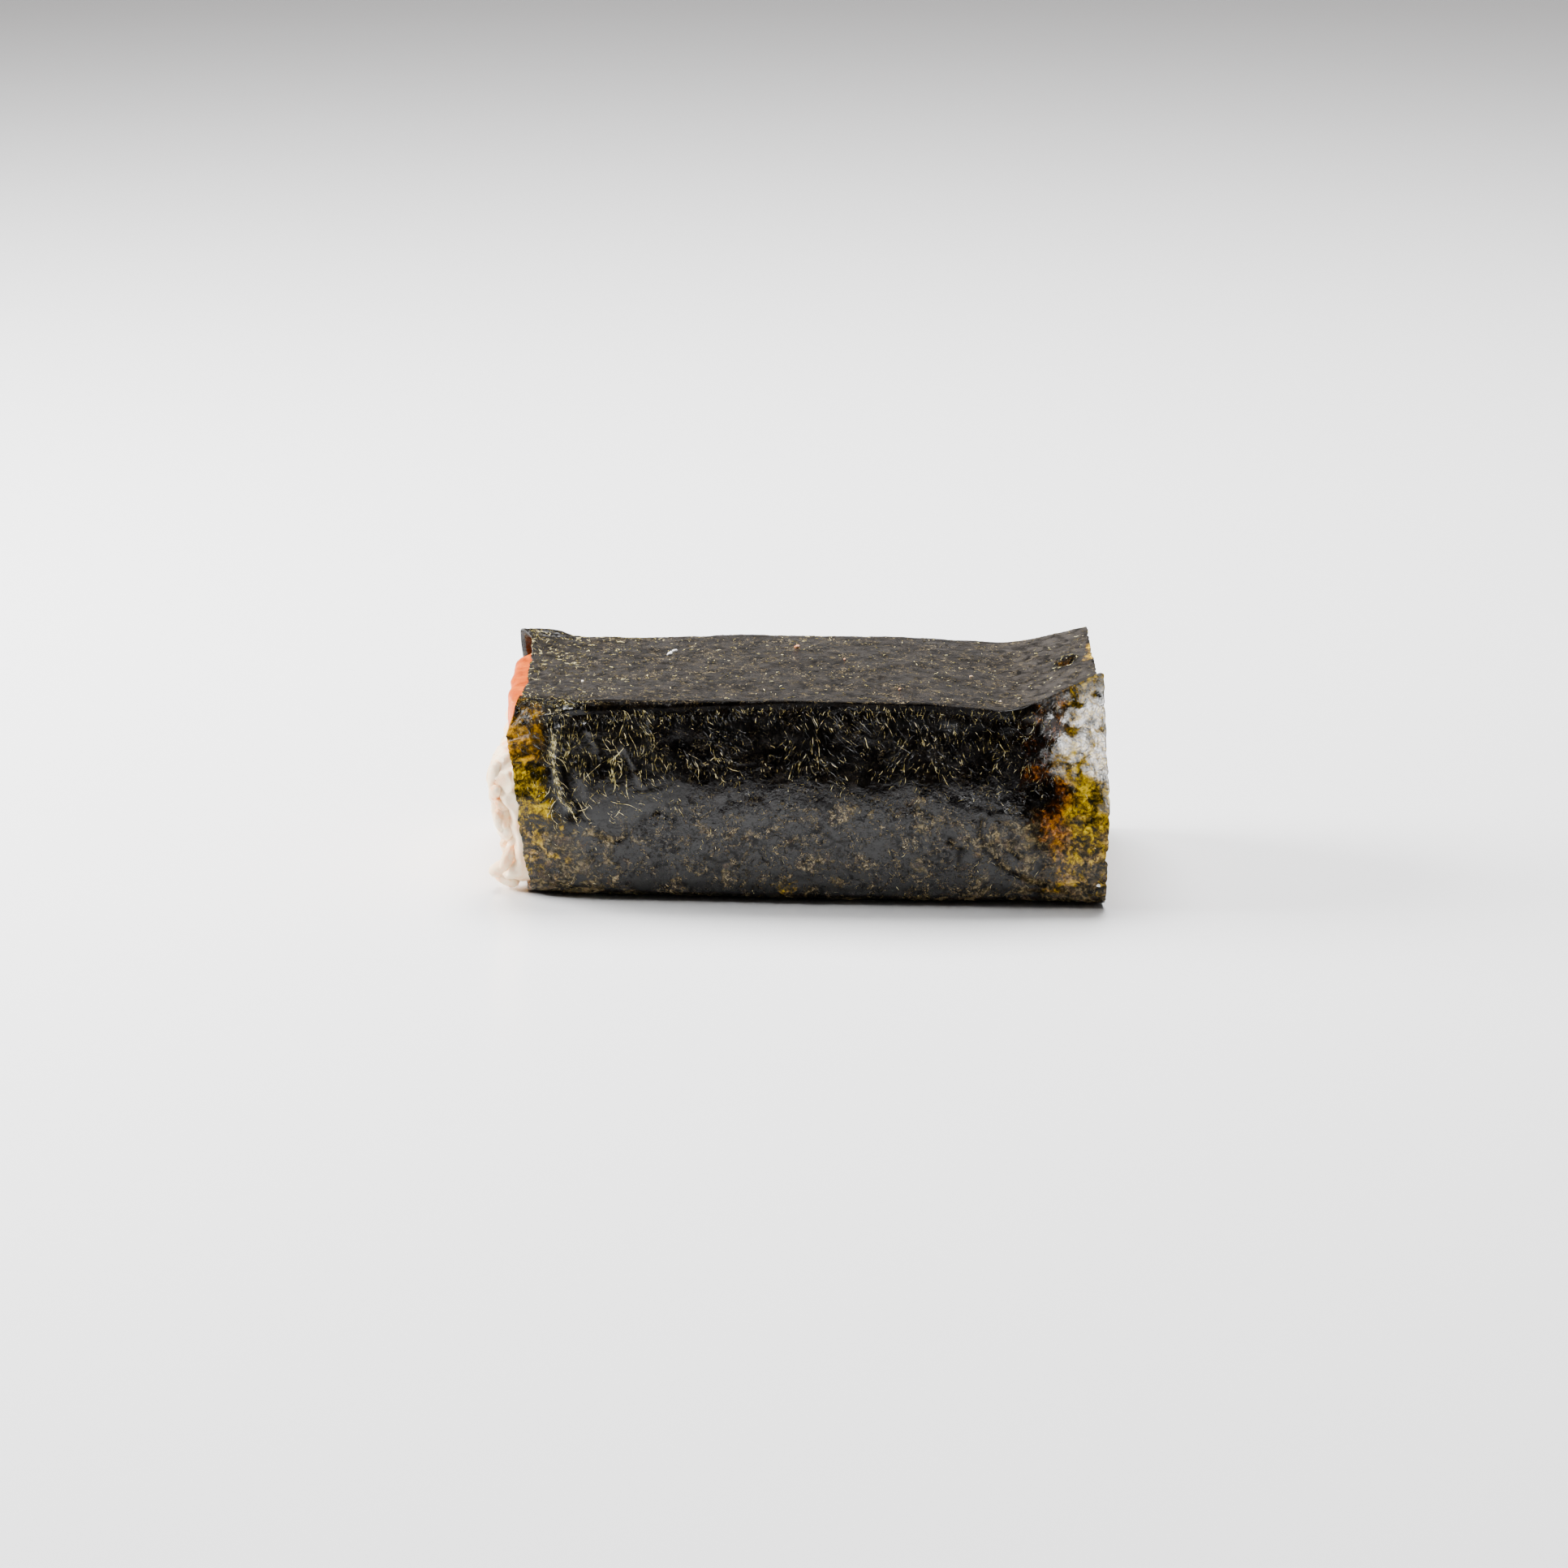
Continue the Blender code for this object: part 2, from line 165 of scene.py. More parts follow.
def rough_noise(points, size, seed, layers=3):
    """Layers of noise, each half the size and half the height of the one before."""
    return sum(noise(points, size / 2**k, seed + 31 * k) / 2**k for k in range(layers))


def off_axis(points):
    """The points turned by 0.6, 0.5 and 0.7 about x, y and z, so that noise there shows no lattice."""
    turned = points
    for first, second, angle in ((1, 2, 0.6), (2, 0, 0.5), (0, 1, 0.7)):
        after = turned.copy()
        after[..., first] = turned[..., first] * math.cos(angle) - turned[..., second] * math.sin(angle)
        after[..., second] = turned[..., first] * math.sin(angle) + turned[..., second] * math.cos(angle)
        turned = after
    return turned


def creases(points, size, seed, sharpness=6.0):
    """Thin winding lines, 1 on them and 0 beside: where smooth noise passes through zero."""
    bent = points + 0.35 * size * np.stack(
        [noise(points, size * 0.8, seed + 5 + k) for k in range(points.shape[-1])], axis=-1)
    return np.exp(-((noise(bent, size, seed) * sharpness) ** 2))


def read_grid(grid, row, column):
    """The grid at fractional rows and columns: its four nearest values, weighted by nearness."""
    row = np.clip(row, 0, grid.shape[0] - 1.001)
    column = np.clip(column, 0, grid.shape[1] - 1.001)
    i, j = row.astype(int), column.astype(int)
    a, b = row - i, column - j
    if grid.ndim == 3:
        a, b = a[..., None], b[..., None]
    near = (1 - b) * grid[i, j] + b * grid[i, j + 1]
    far = (1 - b) * grid[i + 1, j] + b * grid[i + 1, j + 1]
    return (1 - a) * near + a * far


def unit(vectors):
    """The vectors, each divided by its length."""
    return vectors / np.maximum(np.linalg.norm(vectors, axis=-1, keepdims=True), 1e-12)


def grid_normals(points, closed=False):
    """Outward normals of a grid: the step along its rows crossed with the step along its columns."""
    down = np.gradient(points, axis=0)
    if closed:
        across = np.roll(points, -1, axis=1) - np.roll(points, 1, axis=1)
    else:
        across = np.gradient(points, axis=1)
    return unit(np.cross(down, across))


INWARD = [0, 3, 2, 1]  # the order of a quad's corners that turns it over


def grid_quads(rows, columns, start=0, closed=False):
    """Corner numbers of a grid's quads, row step first, so that they face along the normals above."""
    i, j = np.meshgrid(np.arange(rows - 1), np.arange(columns if closed else columns - 1), indexing="ij")
    after = (j + 1) % columns
    quads = [i * columns + j, (i + 1) * columns + j, (i + 1) * columns + after, i * columns + after]
    return start + np.stack([corner.ravel() for corner in quads], axis=-1)


def repeated(faces, starts):
    """The faces of one small form, again for each form's first point number."""
    faces = np.asarray(faces)
    return (faces[None] + starts[:, None, None]).reshape(-1, faces.shape[1]).tolist()


def end_fans(rings, sides):
    """Triangles that close a row of rings of points onto a single point before it and one after it."""
    last = 1 + sides * (rings - 1)
    fans = [(0, 1 + (k + 1) % sides, 1 + k) for k in range(sides)]
    return fans + [(last + k, last + (k + 1) % sides, last + sides) for k in range(sides)]


def gap_to_path(points, path):
    """Distance from each point to a path of straight pieces: the least over its pieces."""
    path = np.asarray(path)
    gaps = []
    for a, b in zip(path[:-1], path[1:]):
        t = np.clip(((points - a) @ (b - a)) / ((b - a) @ (b - a)), 0, 1)
        gaps.append(np.linalg.norm(points - a - t[..., None] * (b - a), axis=-1))
    return np.min(gaps, axis=0)


def make_piece(name, points, faces, look, node, values=None, flat_from=None):
    """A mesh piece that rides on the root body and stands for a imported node."""
    mesh = bpy.data.meshes.new(name)
    mesh.from_pydata(np.asarray(points).reshape(-1, 3).tolist(), [], faces)
    mesh.materials.append(look)
    smooth = np.ones(len(mesh.polygons), dtype=bool)
    if flat_from is not None:
        smooth[flat_from:] = False
    mesh.polygons.foreach_set("use_smooth", smooth)
    for key, value in (values or {}).items():
        made = mesh.attributes.new(key, "FLOAT", "POINT")
        made.data.foreach_set("value", np.asarray(value, dtype=np.float32).ravel())
    piece = bpy.data.objects.new(name, mesh)
    bpy.context.scene.collection.objects.link(piece)
    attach(piece, "root")
    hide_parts(node)
    return piece


# The band's form


def eased(x, values):
    """A value given at the stations, read at x, with the kinks at the stations eased."""
    offsets = np.linspace(-EASE, EASE, 7)
    return np.mean([np.interp(x + offset, STATIONS, values) for offset in offsets], axis=0)


def section_corners(x):
    """The eight corners (y, z, rounding) of the band's section at each x, in the order of the sheet."""
    zero = np.zeros_like(x)
    foot, belly = eased(x, FOOT_Y), eased(x, BELLY_Y)
    foot_rounding, belly_rounding = eased(x, FOOT_ROUNDING), eased(x, BELLY_ROUNDING)
    belly_z = eased(x, BELLY_Z)
    front = (-eased(x, FRONT_TOP_Y), eased(x, FRONT_TOP_Z), eased(x, FRONT_TOP_ROUNDING))
    back = (eased(x, BACK_TOP_Y), eased(x, BACK_TOP_Z), eased(x, BACK_TOP_ROUNDING))
    corners = [
        (zero + LAP_INNER_END, zero, zero),
        (-foot, zero, foot_rounding),
        (-belly, belly_z, belly_rounding),
        front,
        back,
        (belly, belly_z, belly_rounding),
        (foot, zero, foot_rounding),
        (zero + LAP_OUTER_END, zero, zero),
    ]
    return np.stack([np.stack(corner, axis=-1) for corner in corners], axis=-2)


def band_point(x, place):
    """The band's outer face at x and at a place along the sheet, from 0 at its inner end to 13.

    From an even whole number the sheet is straight, and from an odd one it rounds a corner on a
    quadratic curve that starts and ends one rounding away from the corner.
    """
    corners = section_corners(x)
    piece = np.clip(np.floor(place), 0, 12).astype(int)
    t = (place - piece)[..., None]
    on_arc = (piece % 2 == 1)[..., None]

    def corner(number):
        number = np.clip(number, 0, 7)
        picked = np.take_along_axis(corners, number[..., None, None], axis=-2)[..., 0, :]
        return picked[..., :2], picked[..., 2:]

    def toward(start, end, distance):
        step = end - start
        return start + step / np.maximum(np.linalg.norm(step, axis=-1, keepdims=True), 1e-9) * distance

    here = (piece + 1) // 2
    middle, rounding = corner(here)
    before, _ = corner(here - 1)
    after, after_rounding = corner(here + 1)
    leaves = toward(middle, after, rounding)
    straight = leaves + (toward(after, middle, after_rounding) - leaves) * t
    arrives = toward(middle, before, rounding)
    arc = arrives * (1 - t) ** 2 + middle * 2 * t * (1 - t) + leaves * t**2
    yz = np.where(on_arc, arc, straight)
    return np.stack([x, yz[..., 0], yz[..., 1]], axis=-1)


def lap_lift(y):
    """How far the inner layer stands up over the sheet's outer end, at y under the filling."""
    rise = np.clip((y - LAP_OUTER_END) / LAP_RAMP + 1.5, 0, 1)
    return (CAD_THICKNESS + LAP_GAP) * rise * rise * (3 - 2 * rise)


def cut_teeth(reach, seed):
    """How far the cut edge steps back, at a distance along it: rounded teeth with a little tearing."""
    where = np.stack([reach, reach * 0], axis=-1)
    phase = reach / TOOTH_PITCH + 0.35 * noise(where, 5 * MM, seed)
    tooth = 1 - np.abs(np.sin(math.pi * phase)) ** 0.6
    torn = 0.5 + 0.5 * noise(where, 0.9 * MM, seed + 1)
    chipped = smooth_step(noise(where, 2.6 * MM, seed + 2), 0.55, 0.8)
    return TOOTH_DEPTH * (0.75 * tooth + 0.45 * torn + 0.9 * chipped)


def band_surface(along, place):
    """The band's outer face, with along from 0 at its left cut edge to 1 at its right one."""
    left = np.interp(place, EDGE_PLACES, LEFT_EDGE)
    right = np.interp(place, EDGE_PLACES, RIGHT_EDGE)
    points = band_point(left + (right - left) * along, place)
    points[..., 2] += np.where(place < 1, lap_lift(points[..., 1]), 0)
    near_end = np.exp(-(np.maximum(points[..., 0] - CURL_X, 0) / CURL_REACH) ** 2)
    near_corner = np.exp(-(((place - CURL_PLACE) / CURL_SPREAD) ** 2))
    points[..., 2] += CURL_LIFT * near_end * near_corner
    return points


def matted_from(x):
    """The height at which the shown wall's matted upper part begins, lower toward both ends."""
    return np.interp(x, np.array([-50, -40, -28, -15, 0, 20, 35, 45]) * MM,
                     np.array([15.0, 14.0, 15.5, 19.5, 21.5, 22.0, 20.0, 18.0]) * MM)


# Folds of the shown wall: a path of places (x, z), its width and height in mm, and if it is crinkled
FOLDS = (
    ([(-42.4, 33.0), (-42.2, 30.5), (-42.0, 25.4), (-41.0, 19.9), (-38.4, 15.8)], 0.55, 0.90, True),
    ([(-41.4, 19.4), (-39.4, 17.0), (-37.0, 14.4)], 0.5, 0.16, True),
    ([(-40.0, 32.0), (-39.8, 24.0), (-38.0, 19.0)], 1.5, -0.5, False),
    ([(-44.6, 32.0), (-44.8, 25.0), (-43.6, 18.5)], 1.3, -0.35, False),
    ([(-50.0, 28.2), (-46.0, 29.4), (-43.4, 28.0)], 0.55, 0.3, True),
    ([(-50.0, 24.6), (-46.0, 25.2), (-43.4, 24.4)], 0.6, -0.25, False),
    ([(-50.0, 19.3), (-45.6, 19.0), (-42.2, 17.5)], 0.7, 0.2, False),
    ([(-44.0, 33.4), (-30.0, 34.0), (0.0, 34.7), (24.0, 34.4), (38.0, 33.2)], 1.7, -0.45, False),
    ([(-49.0, 4.4), (-46.0, 3.0), (-41.0, 2.0), (-34.0, 1.6)], 0.6, -0.45, False),
    ([(36.4, 8.6), (38.4, 6.6), (41.4, 5.2), (45.1, 4.3), (50.8, 3.5), (56.0, 3.7)], 0.50, -0.34, False),
    ([(-50.4, 30.6), (-47.0, 32.2), (-43.0, 33.8), (-38.0, 34.8)], 0.6, 0.4, True),
    ([(-50.4, 29.2), (-47.0, 30.8), (-43.0, 32.2), (-38.0, 33.4)], 0.8, -0.35, False),
    ([(33.5, 17.0), (33.2, 14.0), (35.4, 9.0)], 0.6, -0.30, True),
    ([(37.4, 17.6), (36.8, 16.0), (34.8, 12.4)], 0.55, 0.26, True),
    ([(37.2, 16.6), (39.0, 15.0), (38.4, 11.4), (40.2, 9.6)], 0.5, -0.30, True),
    ([(41.5, 17.0), (44.5, 13.0), (45.8, 9.0)], 0.8, 0.34, True),
    ([(27.6, 12.6), (30.0, 10.4), (29.2, 7.6)], 0.6, -0.34, True),
    ([(-34.4, 12.8), (-31.0, 11.4), (-29.4, 13.2)], 0.6, -0.34, True),
    ([(-26.6, 15.6), (-23.8, 17.4), (-21.0, 15.8)], 0.6, -0.34, True),
    ([(-30.5, 30.0), (-28.0, 25.5), (-26.4, 21.6)], 0.35, 0.3, True),
    ([(-36.6, 32.0), (-34.4, 28.2), (-33.4, 24.6)], 0.35, 0.26, True),
)

# Dents, in mm: the centre (x, y, z), the width along each axis, and the depth
FRONT_DENTS = (
    ((47.0, -22.0, 29.0), (4.0, 9.0, 5.0), 0.6), ((41.3, -23.0, 32.4), (1.25, 9.0, 1.25), 0.55),
    ((42.8, -25.0, 21.6), (3.6, 9.0, 1.9), 0.5), ((-0.6, -25.2, 2.6), (2.0, 4.0, 1.3), -0.55),
    ((-35.0, -24.5, 26.0), (3.0, 9.0, 3.0), 0.35), ((-19.0, -24.5, 29.0), (5.0, 9.0, 3.5), 0.3),
    ((12.0, -24.5, 28.0), (8.0, 9.0, 3.0), 0.25),
)
TOP_DENTS = (
    ((47.7, 1.8, 38.5), (1.25, 1.5, 9.0), 1.0), ((14.9, -7.0, 36.5), (0.8, 1.0, 9.0), 0.4),
    ((13.4, -7.4, 36.5), (0.6, 0.6, 9.0), -0.2), ((43.5, -6.0, 37.0), (3.0, 9.0, 9.0), 0.35),
)
CURL_DENTS = (((-46.0, 23.0, 37.0), (3.4, 2.6, 9.0), -1.1),)
DEEPEST_OVER_FILLING = -0.52 * MM
DEEPEST_PAST_FILLING = -1.6 * MM


def sheet_relief(points, place, reach):
    """How far the sheet stands out from its even form, as a sum of named folds, dents and wrinkles.

    Folds are a height times exp(-(gap to a path / width)^2), dents the same round a point, and
    wrinkles are noise over the flat sheet, whose coordinates are x and the distance round it.
    """
    x, y, z = points[..., 0], points[..., 1], points[..., 2]
    flat = np.stack([x, reach], axis=-1)
    front = between(place, (1.3, 2.0), (5.3, 5.9))
    top = between(place, (5.2, 6.0), (7.1, 7.9))
    back = between(place, (7.2, 8.0), (11.0, 11.7))
    under = 1 - smooth_step(place, 1.0, 1.8) + smooth_step(place, 11.2, 12.0)
    upper = past(z, matted_from(x), 2, 3)
    low, high = front * (1 - upper), front * upper
    corner = between(place, (4.9, 5.1), (5.9, 6.1)) * (1 - step_mm(x, -40, -30))
    mouth = step_mm(x, 40, 46)
    left_end = 1 - step_mm(x, -45, -38)
    crumpled = (1 - step_mm(x, -43, -27)) * top

    def rough(height, size, seed, layers=2):
        return height * MM * rough_noise(flat, size * MM, seed, layers)

    def lines(height, size, seed, sharpness, where=flat):
        return height * MM * creases(where, size * MM, seed, sharpness)

    def some(size, seed, low, high):
        return smooth_step(noise(flat, size * MM, seed), low, high)

    relief = rough(0.20, 13, 3) * (front + top + back)
    relief += rough(0.09, 5.0, 11) * (front + 0.3 * top + back)
    relief += rough(0.030, 1.5, 21) * top
    relief += rough(0.075, 3.0, 25) * top * (1 + left_end)
    matted = high * smooth_step(rough_noise(flat, 8 * MM, 33, 2), -0.9, 0.3)
    relief += rough(0.05, 1.6, 31) * (0.5 * matted + 0.6 * low + 0.8 * back + 2.4 * crumpled + 1.6 * corner)
    relief += lines(0.06, 3.0, 35, 5) * (0.4 * matted + 0.6 * crumpled + 1.6 * corner)
    hollows = smooth_step(rough_noise(flat, 3.4 * MM, 37, 2), 0.15, 0.65) * some(9, 38, -0.3, 0.2)
    relief -= 0.07 * MM * hollows * low
    relief -= lines(0.10, 2.6, 39, 7) * low * some(5, 40, -0.1, 0.4)
    relief -= lines(0.15, 7.5, 41, 10) * low * some(9, 42, -0.1, 0.3)
    relief -= lines(0.15, 3.6, 45, 7) * low * some(6, 46, 0.1, 0.4)
    relief += lines(0.12, 5.0, 51, 8) * (0.5 * high + back) * some(8, 52, 0.0, 0.5)
    relief -= lines(0.08, 3.4, 55, 6, flat * np.array([0.75, 1.0])) * top * some(6, 56, -0.2, 0.4)
    relief += rough(0.20, 5, 61) * (mouth + 0.6 * left_end) * (front + 0.6 * top + back)
    sheen = step_mm(x, 42, 46) * step_mm(z, 22, 26) * front
    relief += rough(0.20, 2.4, 65, 3) * sheen
    relief += lines(0.22, 5.5, 67, 6) * sheen

    line = band_point(np.zeros(60), np.linspace(1.0, 5.6, 60))
    squeeze = np.array([1.0, 0.15, 1.0])
    crinkle = 1 + 0.6 * noise(flat, 1.1 * MM, 71)
    for path, width, height, crinkled in FOLDS:
        at_x, at_z = np.array(path).T * MM
        wall = np.stack([at_x, np.interp(at_z, line[:, 2], line[:, 1]), at_z], axis=-1)
        gap = gap_to_path(points * squeeze, wall * squeeze)
        relief += height * MM * np.exp(-((gap / (width * MM)) ** 2)) * front * (crinkle if crinkled else 1)
    curl = between(place, (6.6, 7.2), (7.6, 8.2))
    for dents, part in ((FRONT_DENTS, front), (TOP_DENTS, top), (CURL_DENTS, curl)):
        for centre, widths, depth in dents:
            relief -= depth * MM * bell(*zip((x, y, z), centre, widths)) * part
    ring = np.hypot((x - 47.7 * MM) / (2.1 * MM), (y - 1.8 * MM) / (2.5 * MM))
    relief += 0.28 * MM * np.exp(-(((ring - 1) / 0.3) ** 2)) * top * (1 + 0.8 * noise(flat, 0.9 * MM, 73))
    relief = relief * (1 - under) - 0.06 * MM * (1 + noise(flat, 6 * MM, 81)) * under
    filled = step_mm(x, -52, -48) * (1 - step_mm(x, 40.5, 43.5))
    return np.maximum(relief, np.where(filled > 0.5, DEEPEST_OVER_FILLING, DEEPEST_PAST_FILLING))


def values_near(values, reach):
    """The values within some rows and columns of each place on a grid, stacked in a first axis."""
    padded = np.pad(values, reach, mode="edge")
    rows, columns = values.shape
    shifts = range(2 * reach + 1)
    return np.array([padded[i:i + rows, j:j + columns] for i in shifts for j in shifts])


class Sheet:
    """The finished nori as grids over steps along X and round the sheet, for the pieces that lie on it."""

    def __init__(self):
        steps = np.concatenate([np.full(count, length / count) for length, count in STEPS_ALONG])
        self.along = np.concatenate([[0.0], np.cumsum(steps)]) / steps.sum()
        parts = [number + np.arange(count) / count for number, count in enumerate(STEPS_ROUND)]
        self.place = np.concatenate(parts + [[13.0]])
        along, place = np.meshgrid(self.along, self.place, indexing="ij")
        even = band_surface(along, place)
        middle = even[len(self.along) // 2]
        self.reach = np.concatenate([[0.0], np.cumsum(np.linalg.norm(np.diff(middle, axis=0), axis=1))])
        from_left = np.linalg.norm(even - even[:1], axis=-1)
        from_right = np.linalg.norm(even - even[-1:], axis=-1)
        even[..., 0] += cut_teeth(self.reach, 91) * np.exp(-((from_left / (1.2 * MM)) ** 2))
        even[..., 0] -= cut_teeth(self.reach, 97) * np.exp(-((from_right / (1.2 * MM)) ** 2))
        self.even_normals = grid_normals(even)
        round_steps = np.linalg.norm(np.diff(even, axis=1), axis=-1)
        round_reach = np.concatenate([0 * place[:, :1], np.cumsum(round_steps, axis=1)], axis=1)
        self.relief = sheet_relief(even, place, round_reach)
        # How far each place lies below those near it, which sets the painted shade in the sheet's hollows
        self.hollow = step_mm(values_near(self.relief, INNER_STEP).mean(axis=0) - self.relief, 0.04, 0.22)
        self.points = even + self.even_normals * self.relief[..., None]
        self.points[..., 2] = np.maximum(self.points[..., 2], 0.0)
        out = np.abs(self.points[..., 1]) - 26.0 * MM
        soft = 0.8 * MM * np.tanh(np.maximum(out, 0) / (0.8 * MM))
        self.points[..., 1] -= np.sign(self.points[..., 1]) * (np.maximum(out, 0) - soft)
        self.normals = grid_normals(self.points)
        self.places = place

    def on(self, x, place):
        """Points and normals of the finished sheet at x and at places along it."""
        left = np.interp(place, EDGE_PLACES, LEFT_EDGE)
        right = np.interp(place, EDGE_PLACES, RIGHT_EDGE)
        row = np.interp((x - left) / (right - left), self.along, np.arange(len(self.along)))
        column = np.interp(place, self.place, np.arange(len(self.place)))
        return read_grid(self.points, row, column), unit(read_grid(self.normals, row, column))


# Painted shade along creases low on the shown wall: a path of places (x, z), its width in mm, and its
# strength
CREASES = (
    ([(36.0, 9.4), (36.4, 8.4), (38.4, 6.5), (41.4, 5.1), (45.1, 4.2), (50.8, 3.4), (56.0, 3.6)], 0.44, 1.0),
    ([(-49.6, 4.9), (-47.4, 3.4), (-43.0, 2.2), (-36.0, 1.7)], 0.42, 0.95),
    ([(33.3, 16.4), (32.8, 13.4), (34.0, 10.8), (35.2, 9.2)], 0.38, 0.90),
    ([(36.9, 15.6), (36.0, 13.2), (34.6, 11.8)], 0.36, 0.85),
    ([(38.6, 14.2), (38.0, 11.6), (39.6, 9.8)], 0.36, 0.85),
    ([(27.4, 12.8), (29.6, 10.8), (29.4, 8.4)], 0.36, 0.80),
    ([(-34.6, 12.6), (-31.6, 11.2), (-29.2, 12.4)], 0.36, 0.80),
    ([(5.6, 13.2), (8.0, 12.0), (10.4, 12.4)], 0.34, 0.75),
    ([(-16.2, 9.6), (-14.0, 8.0), (-11.4, 8.2)], 0.34, 0.75),
)


def crease_shade(points, place):
    """Painted shade along the sharp creases, as the most of strength times exp(-(gap to a wandering path /
    width)^2).
    """
    x, y, z = points[..., 0], points[..., 1], points[..., 2]
    wander = np.stack([noise(points, 1.6 * MM, 211), noise(points, 1.6 * MM, 212)], axis=-1)
    on_wall = np.stack([x, z], axis=-1) / MM + 0.5 * wander
    lines = np.max([strength * np.exp(-((gap_to_path(on_wall, path) / width) ** 2))
                    for path, width, strength in CREASES], axis=0)
    return lines * between(place, (1.2, 1.8), (4.8, 5.0)) * (y < 0)


def light_through(points, place):
    """How much light comes through the sheet (0 to 1), and how amber it is, over the sheet's places.

    The sheet is lit through where nothing dark lies behind it: past the filling at +X, and in the
    strip over the bare rice at -X. Each is an eased step in x with a wandering border, with bell
    curves for the single spots. This light is painted into the base colour as lit yellow and amber,
    with a fifth of the glow also given to a translucent shader. It is dimmed as painted shade in the
    hollow past the filling's end and along the creases.
    """
    x, y, z = points[..., 0], points[..., 1], points[..., 2]
    wander = 3.0 * MM * rough_noise(points, 7 * MM, 101, 4)
    walls = np.maximum(between(place, (1.2, 1.9), (5.6, 6.2)), between(place, (7.4, 8.0), (11.0, 11.8)))

    def by_height(*values):
        """Values given at eight heights, read at z."""
        return np.interp(z, np.array([0, 5, 8, 12, 18, 24, 30, 37]) * MM, np.array(values))

    border = by_height(42.5, 41.5, 41.5, 42.0, 41.0, 40.5, 41.0, 44.0) * MM
    right = past(x + wander, border, 3, 4) * by_height(0.74, 0.82, 0.90, 1.0, 1.0, 0.95, 0.92, 0.85)
    # Painted shade: less light through in the hollow past the filling's end and higher up beside the sheen
    right *= 1 - 0.70 * bell((x, 43.2, 4.2), (z, 20.8, 2.4)) - 0.30 * bell((x, 43.5, 3.0), (z, 27.0, 5.0))
    border = by_height(-38.5, -37.5, -36.8, -37.8, -40.4, -41.2, -41.8, -45.5) * MM
    left = 1 - past(x + 0.5 * wander, border, 3.4, 0.4)
    left *= by_height(0.68, 0.72, 0.74, 0.78, 0.92, 1.0, 1.0, 0.75)
    stripes = rough_noise(points * np.array([0.35, 1.0, 1.3]), 2.6 * MM, 105, 2) * step_mm(z, 17, 21)
    left *= 1 - 0.05 * step_mm(z, 22, 26) + 0.62 * stripes
    tip = step_mm(x + 0.5 * wander, 49.9, 52.3) * (1 - step_mm(np.abs(y - 5 * MM), 4, 8))
    glow = np.maximum(np.maximum(right, left) * walls, tip * (1 - walls))
    glow *= 1 - (1 - step_mm(x, -44, -40)) * between(place, (6.4, 6.8), (8.6, 9.4))
    foot_bump = 0.92 * bell((x, -0.6, 3.2), (z, 3.2, 2.3)) * walls * (y < 0)
    pit = bell((x, 47.9, 2.5), (y, 2.0, 3.0)) * (1 - walls)
    glow = np.maximum(np.maximum(glow, foot_bump), 0.66 * pit)
    amber_right = 1 - step_mm(x + 1.2 * wander, 45.5, 49.5)
    amber_right *= by_height(0.3, 0.4, 0.5, 0.8, 1.0, 1.0, 1.0, 0.9)
    amber_left = np.maximum(step_mm(z + 0.8 * wander, 23, 26), 0.9 * bell((x, -49.5, 2.2), (z, 11.2, 1.5)))
    amber = np.where(x > 0, np.maximum(amber_right * walls, pit), 0.72 * amber_left)
    # Painted shade along the creases dims the light through
    glow *= 1 - 0.75 * crease_shade(points, place)
    return np.clip(glow, 0, 1), np.clip(amber, 0, 1)


def gleaming(points):
    """The patch at the right end's upper corner that catches the side light, above a falling line."""
    x, z = points[..., 0], points[..., 2]
    wander = 3.2 * MM * rough_noise(points, 4.5 * MM, 119, 4)
    line = 33.8 * MM - 0.95 * (x - 41 * MM)
    holes = smooth_step(rough_noise(off_axis(points), 2.0 * MM, 123, 3), -0.20, 0.75)
    return step_mm(x, 40, 42) * step_mm(z + wander - line, -0.8, 1.0) * (1 - holes)


def dulling(points):
    """Where the lit sheet doesn't mirror the pale floor: high on each end, with a wandering border."""
    x, z = points[..., 0], points[..., 2]
    wander = 1.6 * MM * rough_noise(points, 5 * MM, 117, 4)
    border = np.where(x > 0, 10.5 * MM, 18.8 * MM - 0.30 * (x + 50 * MM))
    dulled = 0.10 + 0.90 * past(z + wander, border, 0.8, 1.2)
    return np.clip(dulled * (1 - gleaming(points)), 0, 1)


# Spots of painted shade on the shown wall, where the gloss is taken away, in mm: the middle's x and z, and
# the width along each
PAINTED_SHADE_SPOTS = ((38.6, 31.4, 7.4, 2.9), (43.0, 21.0, 3.2, 1.7), (45.5, 3.2, 5.0, 0.7), (-38.9, 15.6, 1.5, 1.3),
              (-38.4, 32.6, 2.0, 1.3), (-42.8, 32.2, 1.4, 1.3))


def shading(points, place, hollow):
    """Painted shade, as the share of the sheet with no gloss: in its hollows, creases and dark spots, on and
    just under its front top corner, and in the pit.
    """
    x, y, z = points[..., 0], points[..., 1], points[..., 2]
    wall = between(place, (1.2, 1.8), (5.9, 6.05))
    tight = 0.85 * between(place, (4.70, 4.90), (5.98, 6.03)) * step_mm(x, -42, -34)
    soft = 0.60 * between(place, (4.90, 5.1), (5.75, 6.0))
    shade = np.maximum(0.55 * hollow * wall, np.maximum(tight, soft))
    for x_mm, z_mm, x_width, z_width in PAINTED_SHADE_SPOTS:
        spot = bell((x, x_mm, x_width), (z, z_mm, z_width))
        shade = np.maximum(shade, np.minimum(1.4 * spot, 1.0) * wall)
    shade = np.maximum(shade, crease_shade(points, place))
    pit = bell((x, 48.1, 1.9), (y, 2.2, 2.6)) * (1 - wall)
    return np.maximum(shade, np.minimum(1.3 * pit, 0.95) * (z > 30 * MM))


